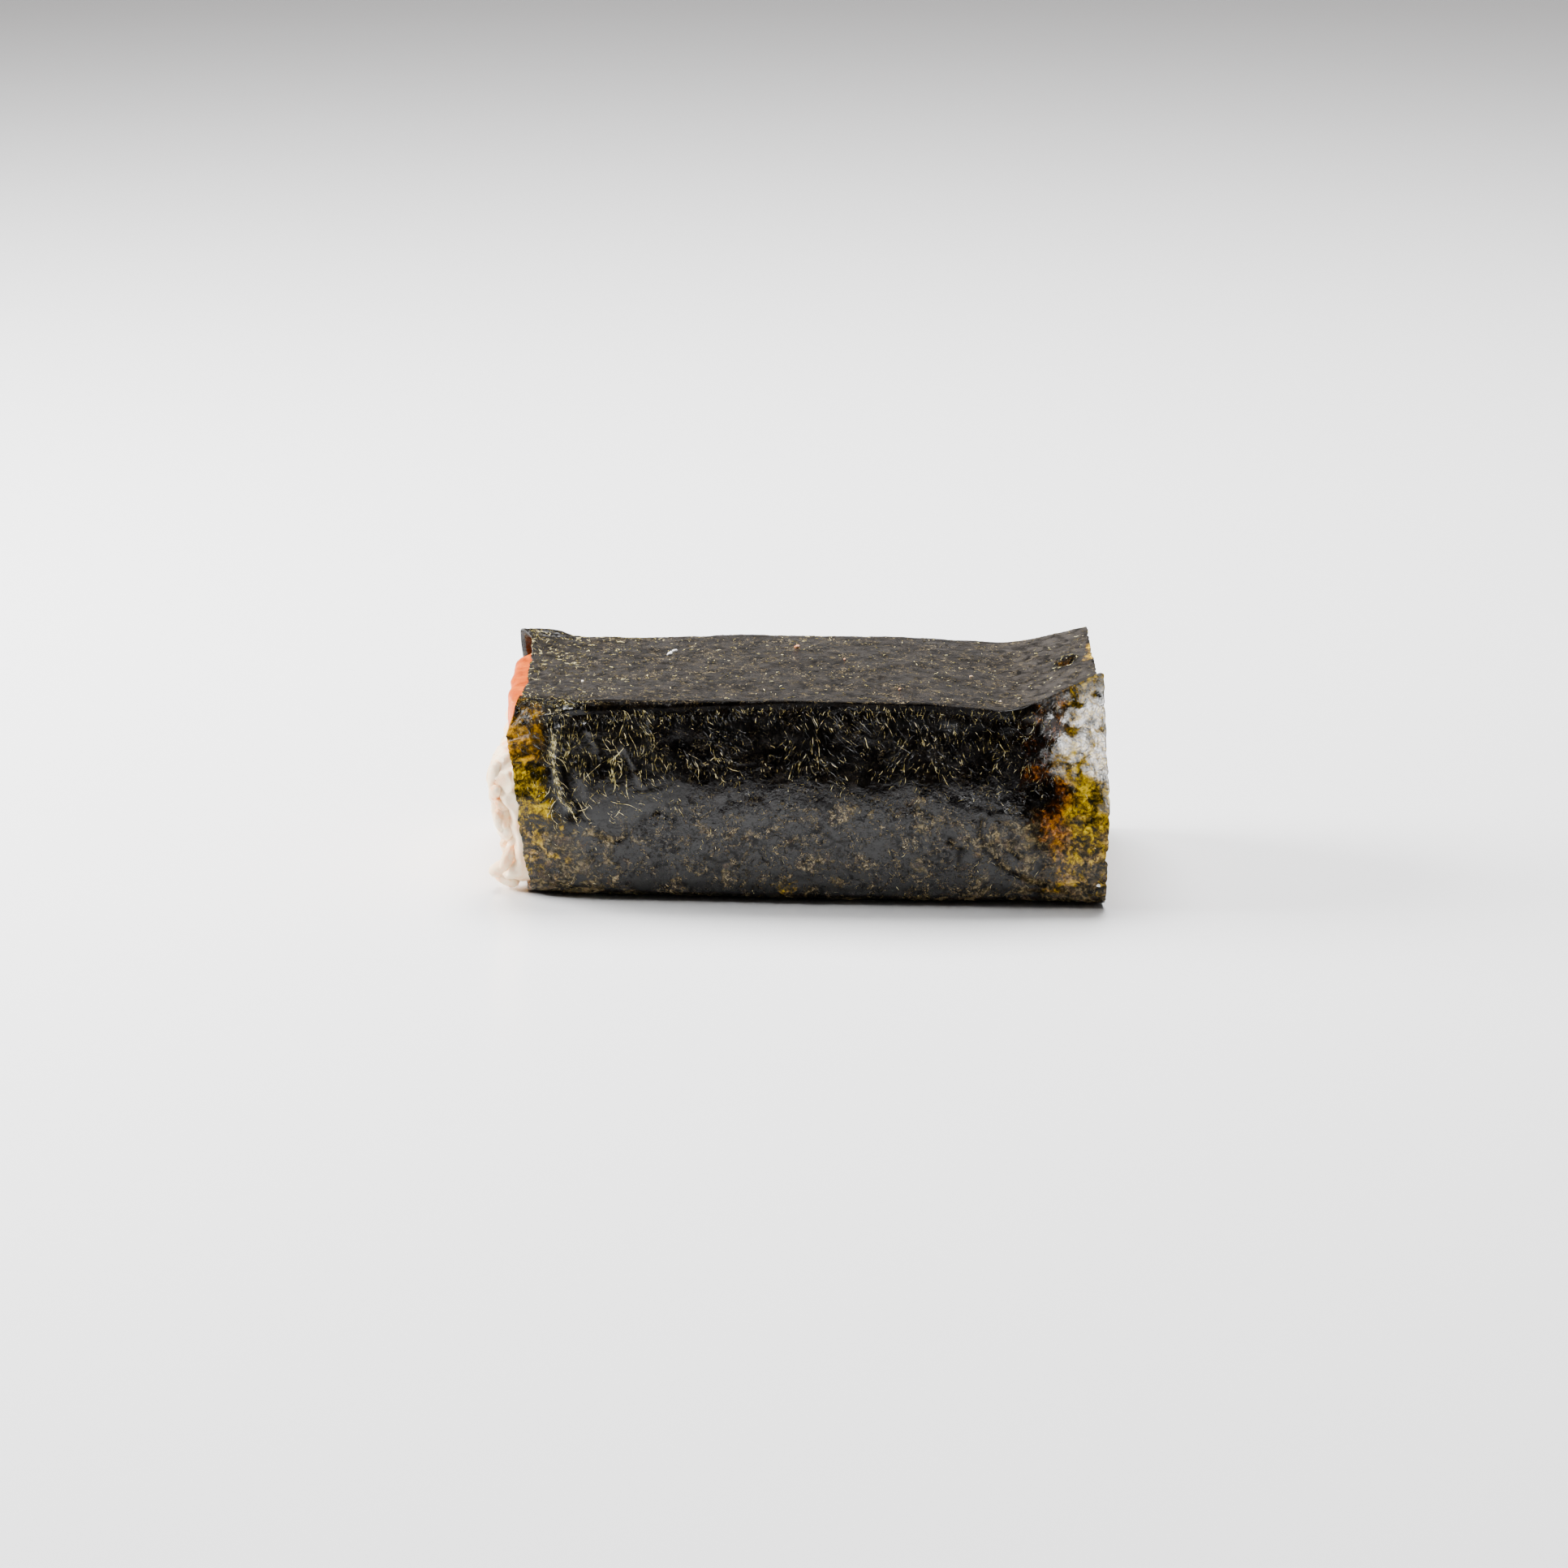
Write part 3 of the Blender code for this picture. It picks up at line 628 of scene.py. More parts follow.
def top_matte_and_painted_sheen(points, place):
    """How matte the top's skin is, and by as much its colour is lifted toward grey brown as a painted sheen:
    a third over the top and two thirds on its flap, but not round the pit.
    """
    x, y = points[..., 0], points[..., 1]
    top = between(place, (5.98, 6.06), (7.2, 7.8))
    pit = bell((x, 48.0, 2.7), (y, 2.1, 3.3))
    return top * (0.34 + 0.36 * step_mm(x, 30, 41)) * (1 - np.minimum(1.3 * pit, 1.0))


def mottling(points, place):
    """Where brown and olive patches show: on the lower walls, hardly on the top or the upper wall."""
    x, z = points[..., 0], points[..., 2]
    wander = 3.0 * MM * rough_noise(points, 7 * MM, 115, 3)
    top = between(place, (5.3, 5.9), (7.3, 8.0))
    low = 1 - past(z + wander, matted_from(x), 3, 2)
    ends = np.maximum(step_mm(x, 25, 42), 1 - step_mm(x, -38, -24))
    return np.clip(0.14 + (0.86 + 0.30 * ends) * low * (1 - top), 0, 1.3)


def crispness(points, place):
    """How matted with fibres the sheet is: 0 where pressed smooth, most on the upper wall and the ends."""
    x, z = points[..., 0], points[..., 2]
    wander = 3.0 * MM * rough_noise(points, 7 * MM, 111, 3)
    front = between(place, (1.3, 2.0), (5.3, 5.7))
    top = between(place, (5.3, 5.9), (7.3, 8.0))
    upper = past(z + wander, matted_from(x), 1.5, 2)
    ends = np.maximum(step_mm(x + wander, 38, 43), 1 - step_mm(x + wander, -46, -36))
    sheen = step_mm(x + 0.6 * wander, 43, 46) * step_mm(z + wander, 24, 28)
    shown = front * np.maximum(upper * (1 - 0.75 * sheen), 0.22 + 0.30 * ends) + top * (0.14 + 0.5 * ends)
    return np.clip(shown + np.maximum(1 - front - top, 0) * 0.6, 0, 1)


# Node helpers


class Nodes:
    """A node tree with short ways to add to it. Inputs are values or the outputs of other nodes."""

    def __init__(self, tree):
        self.tree = tree

    def join(self, socket, value):
        """Links an output to the socket, or sets the socket to a value."""
        if isinstance(value, bpy.types.NodeSocket):
            self.tree.links.new(value, socket)
        else:
            socket.default_value = value

    def put(self, kind, inputs, **settings):
        """Adds a node, with its inputs by socket name or number."""
        made = self.tree.nodes.new(kind)
        for name, value in settings.items():
            setattr(made, name, value)
        for name, value in inputs.items():
            self.join(made.inputs[name], value)
        return made

    def spots(self, where, size_mm, detail=3.0, roughness=0.55, distortion=0.0):
        """Noise from 0 to 1 whose features are about the given size."""
        return self.put("ShaderNodeTexNoise", {
            "Vector": where, "Scale": 1000.0 / size_mm, "Detail": detail, "Roughness": roughness,
            "Distortion": distortion}).outputs["Fac"]

    def span(self, value, low, high, start=0.0, end=1.0):
        """The value from low to high carried onto start to end, and held beyond."""
        return self.put("ShaderNodeMapRange", {
            "Value": value, "From Min": low, "From Max": high, "To Min": start, "To Max": end,
        }).outputs["Result"]

    def sums(self, operation, *values):
        """One step of arithmetic."""
        return self.put("ShaderNodeMath", dict(enumerate(values)), operation=operation).outputs[0]

    def times(self, a, b):
        return self.sums("MULTIPLY", a, b)

    def times_plus(self, a, b, c):
        return self.sums("MULTIPLY_ADD", a, b, c)

    def plus(self, a, b):
        return self.sums("ADD", a, b)

    def less(self, a, b):
        return self.sums("SUBTRACT", a, b)

    def most(self, a, b):
        return self.sums("MAXIMUM", a, b)

    def gap(self, a, b):
        """How far apart the two values are."""
        return self.sums("ABSOLUTE", self.less(a, b))

    def blend(self, share, first, second, kind="MIX"):
        """The first colour turning into the second by the share."""
        first, second = (colour if isinstance(colour, bpy.types.NodeSocket) else (*colour, 1.0)
                         for colour in (first, second))
        return self.put("ShaderNodeMix", {"Factor": share, 6: first, 7: second},
                        data_type="RGBA", blend_type=kind).outputs[2]

    def ramp(self, value, stops):
        """A run of colours picked by the value: stops are (position, (red, green, blue))."""
        made = self.put("ShaderNodeValToRGB", {"Fac": value})
        elements = made.color_ramp.elements
        while len(elements) < len(stops):
            elements.new(0.5)
        for element, (position, colour) in zip(elements, stops):
            element.position = position
            element.color = (*colour, 1.0)
        return made.outputs["Color"]

    def bump(self, height, depth_mm, before=None, strength=1.0):
        """A bump whose height from 0 to 1 is worth the depth, over an earlier bump."""
        inputs = {"Height": height, "Distance": depth_mm * MM, "Strength": strength}
        if before is not None:
            inputs["Normal"] = before
        return self.put("ShaderNodeBump", inputs).outputs["Normal"]

    def place(self, stretch=(1.0, 1.0, 1.0), shift=(0.0, 0.0, 0.0)):
        """The piece's own coordinates, stretched and shifted."""
        own = self.put("ShaderNodeTexCoord", {}).outputs["Object"]
        return self.put("ShaderNodeMapping", {"Vector": own, "Scale": stretch, "Location": shift}).outputs[0]

    def carried(self, name):
        """A value carried by the piece's points."""
        return self.put("ShaderNodeAttribute", {}, attribute_name=name).outputs["Fac"]


class Look(Nodes):
    """A material that is being made: its node tree with the Principled shader."""

    def __init__(self, name):
        self.material = bpy.data.materials.new(name)
        self.material.use_nodes = True
        super().__init__(self.material.node_tree)
        self.shader = self.tree.nodes["Principled BSDF"]

    def set(self, name, value):
        """Joins a value or an output to one of the shader's own sockets."""
        self.join(self.shader.inputs[name], value)


# Finishes


def nori_look():
    """Toasted seaweed: near black, with olive and brown flecks in an oiled, pressed skin.

    Where light comes through, that light is painted into the base colour: the skin opens into yellow
    and amber between its dark threads, and glares less.
    """
    look = Look("toasted nori")
    where = look.place()
    glow, amber, crisp, mottled, dulled, shade, sheen, matte_with_painted_sheen = map(look.carried, SHEET_VALUES)

    skin = look.spots(where, 2.1, 4.0, 0.60, 0.8)
    blots = look.spots(where, 3.6, 6.0, 0.72, 0.8)
    veil = look.spots(look.place(shift=(0.013, 0.0, 0.007)), 3.2, 5.0, 0.68, 0.6)
    mesh = look.spots(look.place(shift=(0.0, 0.021, 0.017)), 0.9, 3.0, 0.60, 0.9)
    threads = look.spots(look.place(shift=(0.04, 0.0, 0.0)), 1.15, 2.0, 0.5, 2.4)
    off_line = look.gap(threads, 0.5)
    thread_line = look.span(off_line, 0.01, 0.055, 1.0, 0.0)
    furrows = look.spots(look.place(shift=(0.0, 0.06, 0.03)), 2.2, 3.0, 0.55, 2.6)
    off_line = look.gap(furrows, 0.5)
    furrow_line = look.times(look.span(off_line, 0.010, 0.042, 1.0, 0.0), look.span(blots, 0.40, 0.50))

    pores = look.spots(look.place(shift=(0.01, 0.03, 0.05)), 1.4, 3.0, 0.60, 1.2)
    pore = look.times(look.span(pores, 0.58, 0.66), look.times_plus(crisp, -0.6, 0.85))

    body = look.ramp(skin, [
        (0.34, (0.0004, 0.0003, 0.0003)), (0.52, (0.0014, 0.0010, 0.0008)), (0.66, (0.0042, 0.0028, 0.0016)),
        (0.78, (0.014, 0.009, 0.005))])
    patch_colour = look.ramp(mesh, [
        (0.36, (0.004, 0.0035, 0.001)), (0.50, (0.056, 0.042, 0.015)), (0.62, (0.20, 0.148, 0.068))])
    patch_colour = look.blend(look.span(skin, 0.50, 0.66, 0.0, 0.8), patch_colour, (0.095, 0.056, 0.028))
    wider = look.times_plus(mottled, 0.25, look.less(blots, 0.25))
    patch = look.times(look.span(wider, 0.52, 0.66, 0.0, 0.74), mottled)
    body = look.blend(patch, body, patch_colour)
    # Painted sheen: where the top is made matte, its near black colour is lifted toward grey brown in place
    # of its gloss
    painted_sheen_lift = look.times(matte_with_painted_sheen, look.span(skin, 0.38, 0.62, 0.20, 1.60))
    body = look.blend(painted_sheen_lift, body, (0.029, 0.0252, 0.0222))
    fleck = look.times(thread_line, look.span(mesh, 0.50, 0.57))
    fleck = look.times(fleck, look.span(blots, 0.46, 0.58, 0.05, 0.9))
    fleck = look.times(fleck, look.span(crisp, 0.2, 0.9, 1.0, 0.25))
    fleck = look.times(fleck, look.span(mottled, 0.1, 0.9, 0.62, 1.0))
    fleck_colour = look.ramp(veil, [
        (0.38, (0.075, 0.056, 0.014)), (0.50, (0.20, 0.145, 0.058)), (0.62, (0.44, 0.34, 0.18))])
    body = look.blend(fleck, body, fleck_colour)

    # Painted light through the sheet: where the glow is, the base colour turns to lit yellow and amber
    opened = look.times_plus(glow, 0.64, look.times_plus(veil, 1.35, -0.93))
    opened = look.times_plus(mesh, 1.10, look.less(opened, 0.52))
    opened = look.times_plus(amber, 0.07, opened)
    green = look.ramp(opened, [
        (0.06, (0.002, 0.0016, 0.0003)), (0.22, (0.020, 0.0145, 0.0003)), (0.36, (0.115, 0.070, 0.0003)),
        (0.48, (0.36, 0.22, 0.0004)), (0.64, (0.74, 0.50, 0.003))])
    warm = look.ramp(opened, [
        (0.08, (0.002, 0.0010, 0.0003)), (0.30, (0.011, 0.0036, 0.0004)), (0.44, (0.060, 0.0155, 0.0003)),
        (0.57, (0.23, 0.066, 0.0006)), (0.74, (0.58, 0.21, 0.005))])
    lit = look.blend(amber, green, warm)
    share = look.times(look.span(opened, -0.05, 0.05), look.span(glow, 0.02, 0.25))
    colour = look.blend(share, body, look.blend(1.0, lit, body, "LIGHTEN"))

    oil = look.spots(look.place((0.8, 1.0, 1.2), (0.2, 0.1, 0.0)), 5.0, 2.0, 0.5, 0.8)
    gloss = look.plus(look.span(oil, 0.36, 0.64, 0.10, 0.20), look.span(skin, 0.52, 0.70, 0.0, 0.08))
    gloss = look.plus(gloss, look.times(patch, 0.16))
    gloss = look.times_plus(sheen, 0.20, gloss)

    pressed = look.spots(look.place((0.8, 1.0, 1.0), (0.0, 0.03, 0.0)), 1.2, 3.0, 0.58, 0.6)
    cracks = look.times(thread_line, look.span(veil, 0.50, 0.60))
    grit = look.spots(look.place(shift=(0.03, 0.01, 0.0)), 0.6, 2.0, 0.5, 0.5)
    normal = look.bump(grit, 0.13, None, look.times_plus(crisp, -0.8, 0.95))
    normal = look.bump(pressed, 0.12, normal, 0.70)
    normal = look.bump(skin, 0.30, normal, look.times_plus(crisp, 0.06, 0.02))
    normal = look.bump(cracks, -0.10, normal, look.times_plus(crisp, -0.45, 0.55))
    normal = look.bump(mesh, 0.16, normal, look.times(sheen, 0.9))
    normal = look.bump(fleck, 0.05, normal, look.times_plus(crisp, -0.3, 0.5))

    look.set("Base Color", colour)
    look.set("Roughness", gloss)
    look.set("Normal", normal)
    look.set("IOR", 1.48)
    look.set("Specular IOR Level", look.times_plus(sheen, 0.64, 0.36))
    dull = look.put("ShaderNodeBsdfDiffuse", {"Color": colour, "Normal": normal})
    through = look.put("ShaderNodeBsdfTranslucent", {"Color": colour, "Normal": normal})
    matte = look.times(look.times(share, dulled), look.times_plus(amber, 0.20, 0.70))
    # Painted shade: the gloss is taken away in the sheet's hollows, creases, dark spots, front top corner and
    # pit
    matte = look.most(matte, look.times(shade, 0.98))
    matte = look.most(matte, look.times(furrow_line, look.times_plus(crisp, -0.5, 0.85)))
    matte = look.most(matte, look.times(pore, look.times_plus(sheen, -0.8, 1.0)))
    worn = look.spots(look.place(shift=(0.05, 0.02, 0.01)), 6.5, 4.0, 0.60, 0.8)
    worn = look.times(look.span(worn, 0.53, 0.60), look.span(mesh, 0.46, 0.52, 1.0, 0.0))
    matte = look.most(matte, look.times(worn, look.times(mottled, 0.55)))
    matte = look.most(matte, matte_with_painted_sheen)
    soft = look.put("ShaderNodeMixShader", {0: matte, 1: look.shader.outputs[0], 2: dull.outputs[0]})
    mixed = look.put("ShaderNodeMixShader", {0: look.times(glow, 0.20), 1: soft.outputs[0],
                                              2: through.outputs[0]})
    look.join(look.tree.nodes["Material Output"].inputs["Surface"], mixed.outputs[0])
    return look.material


def fibre_look():
    """Single strands of seaweed: wet and dark olive to gold, with pale gold and nearly white tones that are
    painted highlights, broken along each strand.
    """
    look = Look("seaweed fibre")
    tone = look.carried("tone")
    speckle = look.spots(look.place(), 0.9, 2.0)
    value = look.plus(tone, look.span(speckle, 0.34, 0.66, -0.34, 0.34))
    # The strand's tone with a speckle along it: dark olive through gold, and at the top pale gold to nearly
    # white as painted highlights
    colour = look.ramp(value, [
        (0.20, (0.002, 0.0015, 0.001)), (0.48, (0.014, 0.011, 0.004)), (0.66, (0.088, 0.070, 0.014)),
        (0.84, (0.36, 0.28, 0.070)), (1.0, (0.84, 0.73, 0.37))])
    look.set("Base Color", colour)
    look.set("Roughness", look.span(speckle, 0.3, 0.7, 0.12, 0.30))
    look.set("Normal", look.bump(speckle, 0.04))
    look.set("Specular IOR Level", 0.4)
    return look.material


def rice_look():
    """Cooked short rice pressed to a block: milky, with peach and translucent places."""
    look = Look("pressed cooked rice")
    where = look.place()
    cloud = look.spots(where, 3.2, 3.0, 0.55, 0.4)
    fleck = look.spots(where, 0.9, 3.0, 0.6, 0.3)
    colour = look.ramp(cloud, [
        (0.34, (0.92, 0.48, 0.21)), (0.46, (0.95, 0.66, 0.40)), (0.58, (0.96, 0.77, 0.54)),
        (0.70, (0.93, 0.56, 0.29))])
    colour = look.blend(look.span(fleck, 0.5, 0.75, 0.0, 0.3), colour, (0.95, 0.80, 0.60))
    look.set("Base Color", colour)
    look.set("Roughness", look.span(fleck, 0.3, 0.7, 0.24, 0.42))
    normal = look.bump(look.spots(where, 0.9, 3.0, 0.5, 0.4), 0.16, None, 0.8)
    look.set("Normal", normal)
    look.set("Subsurface Weight", 0.45)
    look.set("Subsurface Radius", (1.0, 0.85, 0.75))
    look.set("Subsurface Scale", 0.8 * MM)
    look.set("Specular IOR Level", 0.5)
    return look.material


def meat_look():
    """A fried slice: orange brown and lightly blistered on its faces, pink and close grained between."""
    look = Look("fried luncheon meat")
    where = look.place()
    fried = look.carried("fried")
    mince = look.spots(where, 0.9, 4.0, 0.62, 0.6)
    fat = look.spots(look.place((1.0, 1.0, 1.0), (0.03, 0.0, 0.01)), 1.3, 2.0, 0.5, 0.8)
    patch = look.spots(where, 2.4, 4.0, 0.6, 0.5)
    pits = look.spots(where, 0.45, 3.0, 0.6)
    pink = look.ramp(mince, [
        (0.30, (0.43, 0.056, 0.003)), (0.48, (0.54, 0.090, 0.008)), (0.66, (0.63, 0.140, 0.024))])
    pink = look.blend(look.span(fat, 0.60, 0.68, 0.0, 0.5), pink, (0.72, 0.28, 0.11))
    crust = look.ramp(patch, [
        (0.28, (0.17, 0.024, 0.001)), (0.42, (0.31, 0.043, 0.001)), (0.58, (0.41, 0.066, 0.002)),
        (0.74, (0.50, 0.110, 0.006))])
    crust = look.blend(look.span(pits, 0.60, 0.74, 0.0, 0.55), crust, (0.38, 0.085, 0.025))
    wandering = look.plus(fried, look.span(patch, 0.3, 0.7, -0.22, 0.22))
    colour = look.blend(look.span(wandering, 0.30, 0.62), pink, crust)
    rim = look.span(look.gap(wandering, 0.5), 0.0, 0.16, 0.45, 0.0)
    colour = look.blend(rim, colour, (0.45, 0.10, 0.03))
    look.set("Base Color", colour)
    look.set("Roughness", look.span(pits, 0.3, 0.7, 0.44, 0.62))
    normal = look.bump(mince, 0.12, None, 0.7)
    normal = look.bump(pits, 0.09, normal, 0.7)
    look.set("Normal", normal)
    look.set("Specular IOR Level", 0.10)
    look.set("Subsurface Weight", 0.05)
    look.set("Subsurface Radius", (1.0, 0.45, 0.3))
    look.set("Subsurface Scale", 1.2 * MM)
    return look.material


def crumb_look():
    """Crumbs: each a single tone from white through orange brown to black."""
    look = Look("crumbs")
    speckle = look.spots(look.place(), 0.3, 3.0)
    value = look.plus(look.carried("tone"), look.span(speckle, 0.3, 0.7, -0.05, 0.05))
    colour = look.ramp(value, [
        (0.10, (0.05, 0.03, 0.02)), (0.35, (0.50, 0.16, 0.06)), (0.60, (0.70, 0.42, 0.20)),
        (0.90, (0.88, 0.85, 0.82))])
    look.set("Base Color", colour)
    look.set("Roughness", look.span(speckle, 0.3, 0.7, 0.3, 0.5))
    look.set("Normal", look.bump(speckle, 0.05))
    return look.material


# Pieces


def make_nori(sheet, look):
    """The sheet as one closed shell: a fine outer face, a coarser inner face, and four thin rims.

    The inner face takes every third row and column, drawn in by the thickness below the deepest
    dent near by. Each rim face joins three fine steps to one coarse step.
    """
    rows, columns = len(sheet.along), len(sheet.place)
    deepest = values_near(sheet.relief, INNER_STEP).min(axis=0)
    inner = sheet.points + sheet.even_normals * (deepest - sheet.relief - SHEET_THICKNESS)[..., None]
    inner = inner[::INNER_STEP, ::INNER_STEP]
    in_rows, in_columns = inner.shape[:2]
    start = rows * columns
    faces = grid_quads(rows, columns).tolist()
    faces += grid_quads(in_rows, in_columns, start)[:, ::-1].tolist()
    rim_from = len(faces)

    def rim(outer_numbers, inner_numbers, turned):
        strip = []
        for m in range(len(inner_numbers) - 1):
            first = INNER_STEP * m
            fine = list(outer_numbers[first:first + INNER_STEP + 1])
            face = fine + [inner_numbers[m + 1], inner_numbers[m]]
            strip.append(face[::-1] if turned else face)
        return strip

    outer_at = np.arange(start).reshape(rows, columns)
    inner_at = start + np.arange(in_rows * in_columns).reshape(in_rows, in_columns)
    faces += rim(outer_at[0], inner_at[0], False)
    faces += rim(outer_at[-1], inner_at[-1], True)
    faces += rim(outer_at[:, 0], inner_at[:, 0], True)
    faces += rim(outer_at[:, -1], inner_at[:, -1], False)
    faces = [[int(corner) for corner in face] for face in faces]
    points = np.concatenate([sheet.points.reshape(-1, 3), inner.reshape(-1, 3)])
    where = sheet.points, sheet.places
    found = [*light_through(*where), crispness(*where), mottling(*where), dulling(sheet.points),
             shading(*where, sheet.hollow), gleaming(sheet.points), top_matte_and_painted_sheen(*where)]
    values = {name: np.concatenate([value.ravel(), value[::INNER_STEP, ::INNER_STEP].ravel()])
              for name, value in zip(SHEET_VALUES, found)}
    return make_piece("nori_sheet", points, faces, look, "nori_wrap", values, rim_from)


def make_strands(name, sheet, strands, look, steps=8, sides=4):
    """Strands lying on the sheet: each a tapered thread of a few flat sides along a bent line.

    A strand's heading turns steadily by its bend from end to end, with a slight wave. Its middle
    stands up by the rise and its ends sink in, and its width is that of a half ellipse.
    """
    x, place, heading, length, width, rise, bend, tone = strands
    t = np.linspace(-1, 1, steps)
    beyond = sheet.on(x, np.minimum(place + 0.03, 12.99))[0] - sheet.on(x, np.maximum(place - 0.03, 0.01))[0]
    per_place = np.maximum(np.linalg.norm(beyond, axis=-1) / 0.06, 1.0 * MM)
    turned = heading[:, None] + bend[:, None] * t + 0.22 * np.sin(3.1 * t + 20 * tone[:, None])
    step = (length / (steps - 1))[:, None]
    run_x = np.cumsum(np.cos(turned) * step, axis=1)
    run_s = np.cumsum(np.sin(turned) * step, axis=1)
    xs = x[:, None] + run_x - run_x.mean(axis=1, keepdims=True)
    places = place[:, None] + (run_s - run_s.mean(axis=1, keepdims=True)) / per_place[:, None]
    points, normals = sheet.on(xs, np.clip(places, 0.01, 12.99))
    centre = points + normals * (rise[:, None] * (1 - t**2) - 0.03 * MM)[..., None]
    tangent = unit(np.gradient(centre, axis=1))
    side = unit(np.cross(normals, tangent))
    thick = (width[:, None] * (0.12 + 0.88 * np.sqrt(1 - t**2)) / 2)[..., None]
    turn = np.arange(sides) * 2 * math.pi / sides
    ring = [centre + thick * (side * math.cos(a) + normals * 0.8 * math.sin(a)) for a in turn]
    all_points = np.stack(ring, axis=2)
    each = sides * steps
    starts = np.arange(len(x)) * each
    faces = repeated(grid_quads(steps, sides, closed=True)[:, INWARD], starts)
    faces += repeated([list(range(sides))[::-1], list(range(each - sides, each))], starts)
    return make_piece(name, all_points, faces, look, "nori_wrap", {"tone": np.repeat(tone, each)})


def scattered(rng, count, low, high):
    """Evenly random numbers between two limits."""
    return rng.uniform(low, high, count)


def often_small(rng, count, least, more, power=1):
    """Lengths from least to least + more, in mm, the more of them small the higher the power."""
    return (least + more * rng.random(count) ** power) * MM


def strand_group(rng, x, place, heading, sizes, bend_spread, tones):
    """Strands at given places, with lengths, widths and rises (mm) and tones even between limits.

    Their bends are normal with the given spread, or all 0.4 where it is None.
    """
    count = len(x)
    length, width, rise = (scattered(rng, count, *limits) * MM for limits in sizes)
    bend = rng.normal(0, bend_spread, count) if bend_spread else np.full(count, 0.4)
    return x, place, heading, length, width, rise, bend, scattered(rng, count, *tones)


def place_at(sheet, x_mm, limits, axis, values):
    """Places between the limits where the sheet, at x, has the given values of y (axis 1) or z (axis 2)."""
    places = np.linspace(*limits, 80)
    return np.interp(values, sheet.on(np.full(80, x_mm * MM), places)[0][:, axis], places)


def strand_ring(rng, sheet, count, spreads, middle, widths, limits, axis, sizes, tones):
    """Strands along an oval on the sheet, whose middle and half widths (mm) are along x and the axis."""
    turn_spread, girth_spread, heading_spread = spreads
    around = np.linspace(0, 2 * math.pi, count, endpoint=False) + rng.normal(0, turn_spread, count)
    girth = 1 + rng.normal(0, girth_spread, count)
    x = middle[0] * MM + widths[0] * MM * girth * np.cos(around)
    across = middle[1] * MM + widths[1] * MM * girth * np.sin(around)
    heading = around + math.pi / 2 + rng.normal(0, heading_spread, count)
    return strand_group(rng, x, place_at(sheet, middle[0], limits, axis, across), heading, sizes, None, tones)


def grouped(*groups):
    """Groups of strands or grains as one, with each of their values joined end to end."""
    return [np.concatenate(parts) for parts in zip(*groups)]


def drooping(points):
    """The way the fibres of the shown wall hang, as an angle that wanders smoothly over it."""
    turned = step_mm(points[..., 0], -10, 30)
    return 1.95 - 0.45 * turned + 1.0 * rough_noise(points, 9 * MM, 127, 2)


def make_front_strands(sheet, look):
    """Long drooping strands over the upper part of the shown wall, thinning out below and to the right end.

    More lie along the ridge at the left, hang under the top's edge, and ring the round dimple.
    """
    rng = np.random.default_rng(11)
    count = 7600
    x = scattered(rng, count, -49, 55) * MM
    place = scattered(rng, count, 1.7, 5.0)
    points, _ = sheet.on(x, place)
    z = points[:, 2]
    upper = past(z, matted_from(x), 3, 3)
    left = 1 - step_mm(x, -34, -16)
    mouth = step_mm(x, 43, 48)
    clump = smooth_step(rough_noise(off_axis(points), 7 * MM, 121, 2), -0.5, 0.6)
    chance = (0.05 + (0.30 + 0.30 * left) * upper * (1 - 0.3 * mouth)) * (0.15 + 1.1 * clump)
    keep = rng.random(count) < chance
    x, place, z, upper, left, mouth = (value[keep] for value in (x, place, z, upper, left, mouth))
    number = len(x)
    heading = drooping(points[keep])
    heading += rng.normal(0, 1, number) * np.where(rng.random(number) < 0.85, 0.28, 1.2)
    length = (1.2 + (2.2 + 2.6 * left) * rng.random(number) ** 1.8) * (0.70 + 0.45 * upper) * MM
    length = np.minimum(length, np.maximum(2 * (36.0 * MM - z), 0.6 * MM))
    width = (0.045 + 0.055 * rng.random(number) ** 2 + 0.012 * left) * MM
    rise = (0.03 + 0.08 * rng.random(number)) * MM * (0.4 + 0.8 * upper)
    bend = rng.normal(0, 0.34, number)
    edge = 1 - step_mm(x, -45, -42.5)
    tone = np.clip(0.42 + 0.17 * left - 0.12 * mouth - 0.22 * edge + rng.normal(0, 0.22, number), 0.05, 1.05)
    drooped = (x, place, heading, length, width, rise, bend, tone)

    ridge = np.array([(-42.3, 31.6), (-42.0, 25.4), (-41.0, 19.9), (-38.2, 15.4)]) * MM
    count = 120
    down = rng.random(count) * 3
    step = np.clip(down.astype(int), 0, 2)
    way = ridge[step + 1] - ridge[step]
    at = ridge[step] + way * (down - step)[:, None]
    on_ridge = strand_group(
        rng, at[:, 0] + rng.normal(0, 0.32, count) * MM, place_at(sheet, -41.0, (1.6, 4.9), 2, at[:, 1]),
        np.arctan2(way[:, 1], way[:, 0]) + rng.normal(0, 0.2, count),
        ((1.0, 3.4), (0.05, 0.11), (0.04, 0.12)), 0.4, (0.3, 1.0))
    count = 380
    hanging = strand_group(
        rng, scattered(rng, count, -43, 40) * MM, scattered(rng, count, 4.78, 4.96),
        math.pi / 2 + rng.normal(0, 0.6, count), ((0.4, 1.5), (0.04, 0.09), (0.06, 0.22)), 0.4, (0.1, 0.85))
    dimple = strand_ring(rng, sheet, 26, (0.06, 0.10, 0.25), (41.2, 32.2), (1.45, 1.595), (1.6, 4.9), 2,
                         ((0.5, 1.3), (0.05, 0.10), (0.05, 0.12)), (0.35, 0.95))
    return make_strands("nori_front_strands", sheet, grouped(drooped, on_ridge, hanging, dimple), look)


